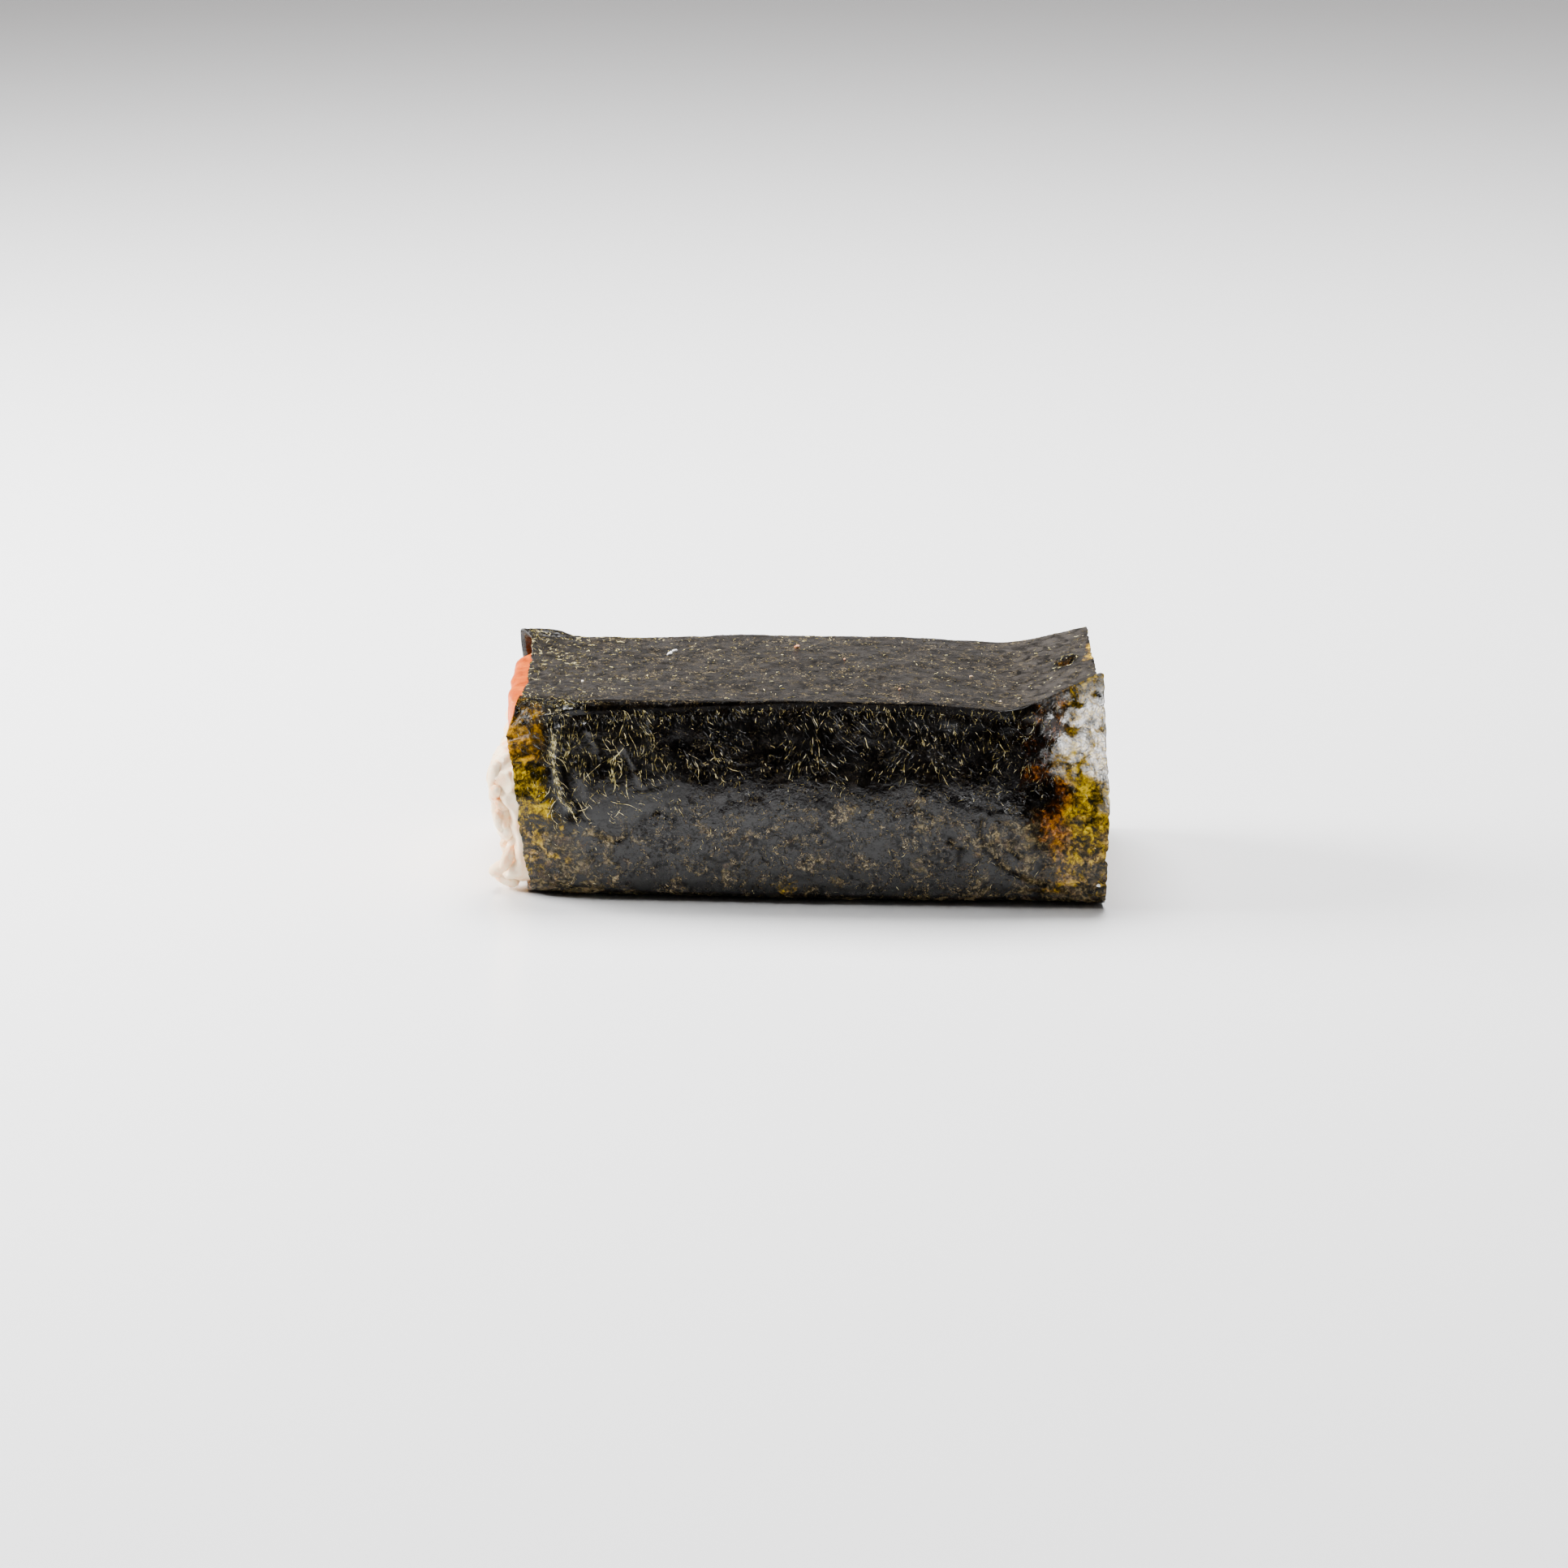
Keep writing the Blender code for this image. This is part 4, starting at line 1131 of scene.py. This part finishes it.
def make_front_flecks(sheet, look):
    """Short glinting strokes all over the shown wall, closest together in its matted upper part."""
    rng = np.random.default_rng(14)
    count = 12500
    x = scattered(rng, count, -49.5, 55.5) * MM
    place = scattered(rng, count, 1.3, 4.94)
    points, _ = sheet.on(x, place)
    upper = past(points[:, 2], matted_from(x), 3, 2)
    clump = smooth_step(rough_noise(off_axis(points), 4 * MM, 125, 3), -0.4, 0.6)
    keep = rng.random(count) < (0.12 + 0.42 * upper) * (0.15 + 1.1 * clump)
    x, place, upper = x[keep], place[keep], upper[keep]
    number = len(x)
    heading = drooping(points[keep])
    heading += rng.normal(0, 1, number) * np.where(rng.random(number) < 0.7, 0.4, 1.5)
    length = often_small(rng, number, 0.45, 1.5, 1.6)
    width = often_small(rng, number, 0.04, 0.05, 2)
    rise = often_small(rng, number, 0.03, 0.06)
    bend = rng.normal(0, 0.6, number)
    edge = 1 - step_mm(x, -45, -42.5)
    left = 1 - step_mm(x, -34, -16)
    tone = np.clip(0.46 + 0.04 * left - 0.22 * edge + rng.normal(0, 0.24, number), 0.05, 1.1)
    strands = (x, place, heading, length, width, rise, bend, tone)
    return make_strands("nori_front_flecks", sheet, strands, look, 4, 3)


def make_top_strands(sheet, look):
    """Short strands and specks over the top, closer together at its left end, and a ring round the pit."""
    rng = np.random.default_rng(12)
    count = 16000
    x = scattered(rng, count, -51, 53) * MM
    place = scattered(rng, count, 6.03, 7.7)
    points, _ = sheet.on(x, place)
    left = 1 - step_mm(x, -44, -24)
    clump = smooth_step(rough_noise(off_axis(points), 5 * MM, 131, 3), -0.4, 0.7)
    keep = rng.random(count) < (0.13 + 0.45 * left) * (0.35 + 0.85 * clump)
    x, place, left = x[keep], place[keep], left[keep]
    number = len(x)
    heading = scattered(rng, number, 0, math.pi)
    length = (0.35 + 1.1 * rng.random(number) ** 2 + 1.4 * left * rng.random(number)) * MM
    width = (0.055 + (0.095 - 0.035 * left) * rng.random(number) ** 2) * MM
    rise = often_small(rng, number, 0.02, 0.05)
    bend = rng.normal(0, 0.5, number)
    tone = np.clip(rng.normal(0.66, 0.24, number) - 0.04 * left, 0.1, 1.1)
    ring = strand_ring(rng, sheet, 34, (0.05, 0.12, 0.3), (47.7, 1.8), (2.0, 2.3), (6.02, 6.98), 1,
                       ((0.6, 1.5), (0.06, 0.13), (0.03, 0.09)), (0.40, 0.95))
    strands = grouped((x, place, heading, length, width, rise, bend, tone), ring)
    return make_strands("nori_top_strands", sheet, strands, look, 5)


def make_corner_strands(sheet, look):
    """Strands and strokes on the soft rounding of the front top corner at its left end."""
    rng = np.random.default_rng(15)
    count = 1500
    x = scattered(rng, count, -49.5, -36) * MM
    place = scattered(rng, count, 4.95, 6.05)
    keep = rng.random(count) < 0.55 * (1 - step_mm(x, -46, -36)) + 0.08
    x, place = x[keep], place[keep]
    number = len(x)
    heading = scattered(rng, number, 0, math.pi)
    length = often_small(rng, number, 0.5, 1.6, 1.6)
    width = often_small(rng, number, 0.05, 0.06, 2)
    rise = often_small(rng, number, 0.03, 0.07)
    bend = rng.normal(0, 0.5, number)
    edge = 1 - step_mm(x, -45, -42)
    tone = np.clip(rng.normal(0.50, 0.22, number) - 0.14 * edge, 0.1, 1.1)
    strands = (x, place, heading, length, width, rise, bend, tone)
    return make_strands("nori_corner_strands", sheet, strands, look, 6, 3)


def make_back_strands(sheet, look):
    """Strands on the wall that faces away."""
    rng = np.random.default_rng(13)
    count = 2600
    x = scattered(rng, count, -50, 52) * MM
    place = scattered(rng, count, 7.8, 11.3)
    points, _ = sheet.on(x, place)
    clump = smooth_step(rough_noise(points, 8 * MM, 141, 2), -0.4, 0.6)
    keep = rng.random(count) < 0.12 + 0.45 * clump
    x, place = x[keep], place[keep]
    number = len(x)
    heading = scattered(rng, number, 0, math.pi)
    length = often_small(rng, number, 0.8, 2.4, 1.8)
    width = often_small(rng, number, 0.09, 0.12)
    rise = often_small(rng, number, 0.02, 0.07)
    bend = rng.normal(0, 0.6, number)
    tone = np.clip(rng.normal(0.5, 0.18, number), 0.05, 1.0)
    strands = (x, place, heading, length, width, rise, bend, tone)
    return make_strands("nori_back_strands", sheet, strands, look)


def meat_top(x):
    """Height of the slice's top face at x: under the band, and level past the band's last dip."""
    x = np.minimum(x, STATIONS[4])
    under_band = np.minimum(eased(x, FRONT_TOP_Z), eased(x, BACK_TOP_Z)) - CAD_THICKNESS
    return under_band - 1.5 * FILLING_GAP


def slice_outline(count):
    """The slice's border from above: an evenly stepped rectangle with round corners and scallops."""
    half_length = (MEAT_RIGHT - MEAT_LEFT) / 2
    dense = []
    for quarter, radius in enumerate(MEAT_CORNERS):
        angle = math.pi / 2 * quarter + np.linspace(0, math.pi / 2, 40)
        side = np.array([1 if quarter in (0, 3) else -1, 1 if quarter in (0, 1) else -1])
        middle = side * (np.array([half_length, MEAT_HALF_WIDTH]) - radius)
        dense.append(middle + radius * np.stack([np.cos(angle), np.sin(angle)], axis=-1))
    dense = np.concatenate(dense)
    dense = np.concatenate([dense, dense[:1]])
    run = np.concatenate([[0.0], np.cumsum(np.linalg.norm(np.diff(dense, axis=0), axis=1))])
    at = np.linspace(0, run[-1], count, endpoint=False)
    border = np.stack([np.interp(at, run, dense[:, 0]), np.interp(at, run, dense[:, 1])], axis=-1)
    angle = np.arctan2(border[:, 1], border[:, 0])
    wave = np.sin(SCALLOPS * angle) * np.sin(7 * angle + 0.8)
    nibble = 0.5 + 0.5 * rough_noise(border, 2.4 * MM, 151, 3)
    return border - unit(border) * (SCALLOP_DEPTH * (0.25 + 0.5 * wave + 0.45 * nibble))[:, None]


def make_meat(look):
    """The slice: its border drawn in toward the middle line over both faces, and bent to the arch.

    Rings run from the middle line of the top face to the border, round its edge, down the side and
    back to the middle line below. Each is the border moved inward by its inset, at its depth.
    """
    count = 420
    border = slice_outline(count)
    half_length = (MEAT_RIGHT - MEAT_LEFT) / 2
    spine_reach = half_length - MEAT_HALF_WIDTH
    spine = np.stack([np.clip(border[:, 0] * 1.15, -spine_reach, spine_reach), 0 * border[:, 1]], axis=-1)
    inward = np.linalg.norm(border - spine, axis=1)
    flat_part = [(k / 30, 0.0, 0.0) for k in range(30)]
    edge = [(1.0, MEAT_EDGE * (1 - math.sin(a)), MEAT_EDGE * (1 - math.cos(a)))
            for a in np.radians(np.linspace(0, 90, 7))]
    side = [(1.0, 0.0, depth) for depth in np.linspace(MEAT_EDGE, MEAT_THICKNESS - MEAT_EDGE, 12)[1:-1]]
    half = flat_part + edge
    rings = half + side + [(share, inset, MEAT_THICKNESS - depth) for share, inset, depth in reversed(half)]
    share, inset, depth = (np.array(column)[:, None] for column in zip(*rings))
    draw = np.where(share < 1, share * (1 - MEAT_EDGE / inward), 1 - inset / inward)
    xy = spine[None] + (border - spine)[None] * draw[..., None]
    centre = (MEAT_RIGHT + MEAT_LEFT) / 2
    x = xy[..., 0] + centre
    points = np.stack([x, xy[..., 1], meat_top(x) - depth], axis=-1)
    normals = -grid_normals(points, closed=True)
    on_side = step_mm(depth, 0.4, 1.6) * (1 - past(depth, MEAT_THICKNESS, 1.6, -0.4))
    rise = 0.10 * MM * rough_noise(points, 1.6 * MM, 161, 3) - 0.10 * MM
    rise += 0.12 * MM * rough_noise(points * np.array([1, 1, 1.6]), 3.2 * MM, 167, 2) * on_side
    points = points + normals * rise[..., None]
    fried = 1 - on_side * np.ones_like(x)
    rows = len(rings)
    faces = grid_quads(rows, count, closed=True)[:, ::-1].tolist()
    piece = make_piece("meat_slice", points, faces, look, "luncheon_meat", {"fried": fried})
    close_spine(piece)
    return piece


def close_spine(piece):
    """Joins the first and last rings' doubled points, so that both faces close on their middle line."""
    shape = bmesh.new()
    shape.from_mesh(piece.data)
    bmesh.ops.remove_doubles(shape, verts=shape.verts, dist=0.002 * MM)
    open_edges = [edge for edge in shape.edges if edge.is_boundary]
    if open_edges:
        bmesh.ops.holes_fill(shape, edges=open_edges, sides=0)
    bmesh.ops.recalc_face_normals(shape, faces=shape.faces)
    shape.to_mesh(piece.data)
    shape.free()


def room_inside(x, z):
    """The room inside the band toward -Y and toward +Y, at x and z."""
    xs = np.linspace(-57, 45, 52) * MM
    zs = np.linspace(0.4, 35, 70) * MM
    tables = []
    for turn in (-1, 1):
        places = np.linspace(1, 5.5, 90) if turn < 0 else np.linspace(12, 7.5, 90)
        walls = band_point(*np.meshgrid(xs, places, indexing="ij"))
        tables.append(np.array([np.abs(np.interp(zs, wall[:, 2], wall[:, 1])) for wall in walls]))
    row = np.interp(x, xs, np.arange(len(xs)))
    column = np.interp(z, zs, np.arange(len(zs)))
    return [read_grid(table - CAD_THICKNESS - FILLING_GAP, row, column) for table in tables]


def grain_bumps(points, pitch, seed):
    """Packed grains as a height from 0 to 1: the highest of the long ellipsoids near each point.

    Each cell of a lattice holds one ellipsoid with its own centre and direction. Its height is the
    square root of one less its squared reach, and they are joined softly by a sum of fifth powers.
    """
    cell = np.floor(points / pitch).astype(np.int64)
    joined = np.zeros(points.shape[:-1])
    for offset in np.ndindex(3, 3, 3):
        here = cell + np.array(offset) - 1
        jitter = np.stack([cell_number(here, seed + k) for k in range(3)], axis=-1)
        gap = points - (here + 0.15 + 0.7 * jitter) * pitch
        axis = unit(np.stack([cell_number(here, seed + 3 + k) - 0.5 for k in range(3)], axis=-1)
                    * np.array([0.75, 0.80, 0.95]))
        along = np.sum(gap * axis, axis=-1)
        across = np.sum(gap**2, axis=-1) - along**2
        reach = (along / (3.7 * MM)) ** 2 + across / (1.65 * MM) ** 2
        joined += np.clip(1 - reach, 0, 1) ** 2.5
    return np.minimum(joined ** 0.2, 1.25)


class Block:
    """The block of rice as a grid: rings from the middle of its left end, along it, to its right end."""

    def __init__(self):
        self.count = 260
        turn = np.linspace(0, 2 * math.pi, self.count, endpoint=False)
        squared = (np.abs(np.cos(turn)) ** 8 + np.abs(np.sin(turn)) ** 8) ** (-1 / 8)
        across, up = np.cos(turn) * squared, np.sin(turn) * squared
        cap = [(0.0, RICE_ROUNDING, share) for share in np.linspace(0.0, 1, 37)[:-1]]
        bend = [(RICE_ROUNDING * (1 - math.cos(a)), RICE_ROUNDING * (1 - math.sin(a)), 1.0)
                for a in np.radians(np.linspace(0, 90, 12))]
        left = cap + bend
        length = RICE_RIGHT - RICE_LEFT
        near = [(place, 0.0, 1.0) for place in np.linspace(RICE_ROUNDING, 9 * MM, 20)[1:]]
        middle = [(place, 0.0, 1.0) for place in np.linspace(9 * MM, length - RICE_ROUNDING, 44)[1:-1]]
        right = [(length - place, inset, share) for place, inset, share in reversed(left)]
        rings = left + near + middle + right
        run, inset, share = (np.array(column)[:, None] for column in zip(*rings))
        x = RICE_LEFT + run + 0 * turn
        top = meat_top(x) - MEAT_THICKNESS - FILLING_GAP
        half = (top - RICE_FLOOR) / 2
        z = RICE_FLOOR + half + up * share * (half - inset)
        front, back = room_inside(x, z)
        y = across * share * (np.where(across < 0, front, back) - inset)
        near_end = np.maximum(0, 1 - run / (8 * MM))
        x = x + near_end * np.interp(z, RICE_END_HEIGHTS, RICE_END_SETBACK)
        x = x - 1.5 * MM * near_end * bell((z, 3.9, 1.6), (y, -19, 4))
        z = z + 2.4 * MM * bell((x, -52.6, 2.6), (y, -18, 3.6)) * step_mm(z, 20, 26)
        z = z - 1.4 * MM * near_end * bell((y, -19.5, 3.5)) * (1 - step_mm(z, 2, 8))
        even = np.stack([x, y, z], axis=-1)
        normals = grid_normals(even, closed=True)
        normals[0] = (-1, 0, 0)
        normals[-1] = (1, 0, 0)
        bare = np.maximum(1 - step_mm(x, -50.5, -48.5), step_mm(x, 36, 38))
        bumps = grain_bumps(even, 3.6 * MM, 171)
        rise = (0.80 * MM * bumps - 0.45 * MM) * bare - 0.25 * MM * (1 - bare)
        rise += 0.25 * MM * rough_noise(even, 6 * MM, 181, 2) * bare
        self.points = even + normals * rise[..., None]
        self.points[..., 2] = np.maximum(self.points[..., 2], 0.2 * MM)
        self.points[..., 0] = np.maximum(self.points[..., 0], RICE_LIMIT + 0.3 * MM)
        self.points[0] = self.points[0].mean(axis=0)
        self.points[-1] = self.points[-1].mean(axis=0)
        self.normals = normals
        self.rows = len(rings)

    def faces(self):
        """Quads between the rings, and a fan of triangles round each end's middle."""
        inner = grid_quads(self.rows - 2, self.count, self.count, closed=True)
        k = np.arange(self.count)
        after = (k + 1) % self.count
        first = np.stack([0 * k, self.count + k, self.count + after], axis=-1)
        base = (self.rows - 2) * self.count
        last = np.stack([base + k, 0 * k + (self.rows - 1) * self.count, base + after], axis=-1)
        return inner, first, last


def make_block(block, look):
    """The block's skin: every ring, with one point at each end's middle."""
    inner, first, last = block.faces()
    points = block.points.reshape(-1, 3)
    keep = np.ones(len(points), dtype=bool)
    keep[1:block.count] = False
    keep[(block.rows - 1) * block.count + 1:] = False
    renumber = np.cumsum(keep) - 1
    faces = [renumber[part].tolist() for part in (inner, first, last)]
    return make_piece("rice_body", points[keep], faces[0] + faces[1] + faces[2], look, "rice_block")


def make_grains(name, centres, along, up, size, look, tone_seed):
    """Grains of cooked rice: long ellipsoids with blunt ends and a slight bend, of eight sides each.

    At a share t of the half length, a grain's section is an ellipse with (1 - |t|^2.6)^0.5 of the half
    width and half height, moved sideways by the bend times t^2.
    """
    sides = 8
    rng = np.random.default_rng(tone_seed)
    t = np.array([-1, -0.82, -0.42, 0.0, 0.42, 0.82, 1])
    round_part = np.sqrt(np.clip(1 - np.abs(t) ** 2.6, 0, 1))
    angle = np.linspace(0, 2 * math.pi, sides, endpoint=False)
    side = unit(np.cross(up, along))
    up = unit(np.cross(along, side))
    half_length, half_width, half_height = size[:, 0], size[:, 1], size[:, 2]
    bend = rng.normal(0, 0.16, len(centres)) * half_length
    rings = []
    for share, girth in zip(t[1:-1], round_part[1:-1]):
        ring = (centres[:, None] + along[:, None] * (share * half_length)[:, None, None]
                + side[:, None] * (np.cos(angle) * girth)[None, :, None] * half_width[:, None, None]
                + up[:, None] * (np.sin(angle) * girth)[None, :, None] * half_height[:, None, None]
                + side[:, None] * (share**2 * bend)[:, None, None])
        rings.append(ring)
    ends = [centres + along * (share * half_length)[:, None] + side * bend[:, None] for share in (-1.0, 1.0)]
    points = np.concatenate([ends[0][:, None]] + rings + [ends[1][:, None]], axis=1)
    starts = np.arange(len(centres)) * points.shape[1]
    faces = repeated(grid_quads(len(rings), sides, 1, closed=True)[:, INWARD], starts)
    faces += repeated(end_fans(len(rings), sides), starts)
    return make_piece(name, points, faces, look, "rice_block")


def end_grains(block, rng, rows, columns, count, sink):
    """Grains lying on a part of the block's skin, each turned at random in the skin."""
    row = rng.uniform(*rows, count)
    column = rng.uniform(*columns, count) % (block.count - 1)
    point = read_grid(block.points, row, column)
    normal = unit(read_grid(block.normals, row, column))
    loose = unit(rng.normal(size=(count, 3)) * np.array([1.0, 1.0, 0.45]))
    along = unit(np.cross(normal, loose) + 0.15 * normal * rng.normal(size=(count, 1)))
    size = np.stack([rng.uniform(2.5, 3.4, count), rng.uniform(1.25, 1.55, count),
                     rng.uniform(1.05, 1.35, count)], axis=-1) * MM
    centre = point - normal * (rng.uniform(*sink, count) * MM)[:, None]
    return centre, along, normal, size


def make_end_grains(block, look):
    """The grains that stand out of both ends and of the strip past the nori's left edge."""
    rng = np.random.default_rng(21)
    groups = []
    cap_rows = 36.0
    for low, high, count in ((3, 12, 12), (12, 22, 26), (22, 31, 36), (31, cap_rows + 8, 34)):
        groups.append(end_grains(block, rng, (low, high), (0, block.count), count, (1.05, 1.40)))
    last = block.rows - 1
    for low, high, count in ((3, 12, 14), (12, 22, 34), (22, 31, 50), (31, cap_rows + 4, 50)):
        groups.append(end_grains(block, rng, (last - high, last - low), (0, block.count), count, (1.0, 1.35)))
    placed = [
        ((-53.2, -18.4, 27.0), (0.30, -0.60, 0.70)), ((-53.3, -16.6, 23.8), (0.20, 0.70, 0.60)),
        ((-51.8, -19.4, 18.6), (0.35, -0.30, 0.85)), ((-50.5, -20.2, 14.2), (-0.10, -0.50, 0.80)),
        ((-49.6, -20.4, 9.0), (0.40, -0.40, 0.75)),
        ((-52.6, -19.4, 4.2), (0.90, -0.20, 0.35)), ((-51.6, -20.4, 2.2), (0.70, -0.6, -0.10)),
        ((-53.0, -20.6, 22.5), (0.15, -0.20, 1.0)),
    ]
    centre = np.array([place for place, _ in placed]) * MM
    along = unit(np.array([way for _, way in placed]))
    up = np.tile(np.array([[-0.5, -0.8, 0.2]]), (len(placed), 1))
    size = np.tile(np.array([[3.2, 1.55, 1.35]]) * MM, (len(placed), 1))
    groups.append((centre, along, up, size))
    centre, along, up, size = grouped(*groups)
    reach_x, reach_y, reach_z = (np.abs(along) * size[:, :1] + size[:, 1:2] * np.sqrt(1 - along**2)).T
    centre[:, 0] = np.maximum(centre[:, 0], RICE_LIMIT + reach_x + 0.1 * MM)
    centre[:, 2] = np.maximum(centre[:, 2], reach_z + 0.15 * MM)
    ceiling = meat_top(centre[:, 0]) - MEAT_THICKNESS + 0.1 * MM
    centre[:, 2] = np.minimum(centre[:, 2], ceiling - reach_z)
    front, back = (room - reach_y + 0.2 * MM for room in room_inside(centre[:, 0], centre[:, 2]))
    centre[:, 1] = np.clip(centre[:, 1], -front, back)
    return make_grains("rice_end_grains", centre, along, up, size, look, 5)


def make_crumbs(sheet, look):
    """A white sliver, an orange brown crumb and a few specks on the nori, as small lumpy ellipsoids."""
    listed = [
        (-24.0, 6.72, (0.95, 0.34, 0.30), 1.2, 0.98), (-23.3, 6.76, (0.55, 0.30, 0.28), 0.4, 0.95),
        (-0.9, 6.80, (0.55, 0.42, 0.35), 0.7, 0.40), (31.0, 6.45, (0.28, 0.22, 0.18), 0.3, 0.62),
        (-38.5, 6.30, (0.30, 0.22, 0.2), 1.9, 0.80), (8.0, 6.62, (0.25, 0.20, 0.16), 2.2, 0.40),
        (54.2, 2.05, (0.34, 0.28, 0.25), 0.0, 0.98), (36.4, 6.12, (0.24, 0.2, 0.16), 0.9, 0.7),
        (18.5, 6.20, (0.30, 0.22, 0.18), 1.4, 0.45),
    ]
    rings, sides = 7, 12
    turn, rise = np.meshgrid(np.linspace(0, 2 * math.pi, sides, endpoint=False),
                             np.linspace(-math.pi / 2, math.pi / 2, rings + 2)[1:-1], indexing="xy")
    ball = np.stack([np.cos(turn) * np.cos(rise), np.sin(turn) * np.cos(rise), np.sin(rise)], axis=-1)
    ball = np.concatenate([[[0.0, 0.0, -1.0]], ball.reshape(-1, 3), [[0.0, 0.0, 1.0]]])
    single = grid_quads(rings, sides, 1, closed=True)[:, ::-1].tolist() + end_fans(rings, sides)
    points, faces, tones = [], [], []
    for number, (x, place, size, heading, tone) in enumerate(listed):
        at, normal = sheet.on(np.array([x * MM]), np.array([place]))
        along = unit(np.cross(normal[0], [math.sin(heading), -math.cos(heading), 0.2]))
        side = np.cross(normal[0], along)
        lumpy = 1 + 0.22 * rough_noise(ball + 3.1 * number, 0.9, 191 + number, 2)
        local = ball * lumpy[:, None] * np.array(size) * MM
        local[:, 1] += 0.35 * local[:, 0] ** 2 / (size[0] * MM)
        lying = at[0] + local[:, :1] * along + local[:, 1:2] * side
        lying = lying + (local[:, 2:] + 0.55 * size[2] * MM) * normal[0]
        start = len(points) * len(ball)
        points.append(lying)
        faces += [[start + corner for corner in face] for face in single]
        tones.append(np.full(len(ball), tone))
    return make_piece("crumbs", np.concatenate(points), faces, look, "nori_wrap",
                      {"tone": np.concatenate(tones)})


# The studio


def make_floor():
    """A wide pale glazed floor."""
    half = 2.2
    mesh = bpy.data.meshes.new("floor")
    z = -0.05 * MM
    corners = [(-half, -half, z), (half, -half, z), (half, half, z), (-half, half, z)]
    mesh.from_pydata(corners, [], [(0, 1, 2, 3)])
    look = Look("pale glazed floor")
    look.set("Base Color", (0.80, 0.80, 0.805, 1.0))
    look.set("Roughness", 0.20)
    look.set("Specular IOR Level", 0.5)
    mesh.materials.append(look.material)
    floor = bpy.data.objects.new("floor", mesh)
    bpy.context.scene.collection.objects.link(floor)


def soft_box(name, place, aim, size, power, lights=True, gleams=True):
    """A rectangular soft light turned to an aim point, which may only light or only gleam in gloss."""
    light = bpy.data.lights.new(name, "AREA")
    light.shape = "RECTANGLE"
    light.size, light.size_y = size
    light.energy = power
    made = bpy.data.objects.new(name, light)
    made.location = place
    made.rotation_euler = (Vector(aim) - Vector(place)).to_track_quat("-Z", "Y").to_euler()
    made.visible_diffuse = lights
    made.visible_transmission = lights
    made.visible_glossy = gleams
    made.visible_camera = False
    bpy.context.scene.collection.objects.link(made)


def make_light():
    """Soft light from above and behind, weaker ones from the sides, gleam cards, and a room dark in front."""
    middle = (0, 0, 0.02)
    soft_box("overhead softbox", (-0.04, 0.36, 0.78), middle, (0.60, 0.42), 32.0, gleams=False)
    soft_box("left softbox", (-0.68, 0.10, 0.36), middle, (0.40, 0.30), 27.0, gleams=False)
    soft_box("overhead gleam card", (-0.04, 0.30, 0.78), middle, (0.18, 0.14), 2.0, lights=False)
    soft_box("right gleam card", (0.42, -0.34, 0.64), middle, (0.52, 0.42), 38.0, lights=False)
    soft_box("left gleam card", (-0.42, -0.34, 0.56), middle, (0.20, 0.16), 14.0, lights=False)
    world = bpy.data.worlds.new("studio room")
    bpy.context.scene.world = world
    world.use_nodes = True
    room = Nodes(world.node_tree)
    way = room.put("ShaderNodeTexCoord", {}).outputs["Generated"]
    parts = room.put("ShaderNodeSeparateXYZ", {0: way})
    behind = room.span(parts.outputs["Y"], -0.60, 0.25, 0.01, 0.51)
    falling = room.span(parts.outputs["Z"], 0.0, 0.60, 1.45, 0.50)
    background = room.tree.nodes["Background"]
    room.join(background.inputs["Strength"], room.times(behind, falling))
    room.join(background.inputs["Color"], (1.0, 0.965, 0.955, 1.0))


def make_camera():
    """The photograph's view: nearly square on to the long side and a little above."""
    camera = bpy.data.cameras.new("camera")
    camera.lens = 107.5
    camera.sensor_width = 36.0
    camera.clip_start = 0.01
    camera.clip_end = 20.0
    made = bpy.data.objects.new("camera", camera)
    eye, aim = Vector((0.03984, -0.81365, 0.26072)), Vector((-0.002748, -0.001039, 0.015039))
    made.location = eye
    made.rotation_euler = (aim - eye).to_track_quat("-Z", "Y").to_euler()
    bpy.context.scene.collection.objects.link(made)
    bpy.context.scene.camera = made


def main():
    """Makes the camera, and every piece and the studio."""
    make_camera()
    sheet = Sheet()
    make_nori(sheet, nori_look())
    fibre = fibre_look()
    make_front_strands(sheet, fibre)
    make_front_flecks(sheet, fibre)
    make_top_strands(sheet, fibre)
    make_corner_strands(sheet, fibre)
    make_back_strands(sheet, fibre)
    make_meat(meat_look())
    rice = rice_look()
    block = Block()
    make_block(block, rice)
    make_end_grains(block, rice)
    make_crumbs(sheet, crumb_look())
    make_floor()
    make_light()


main()
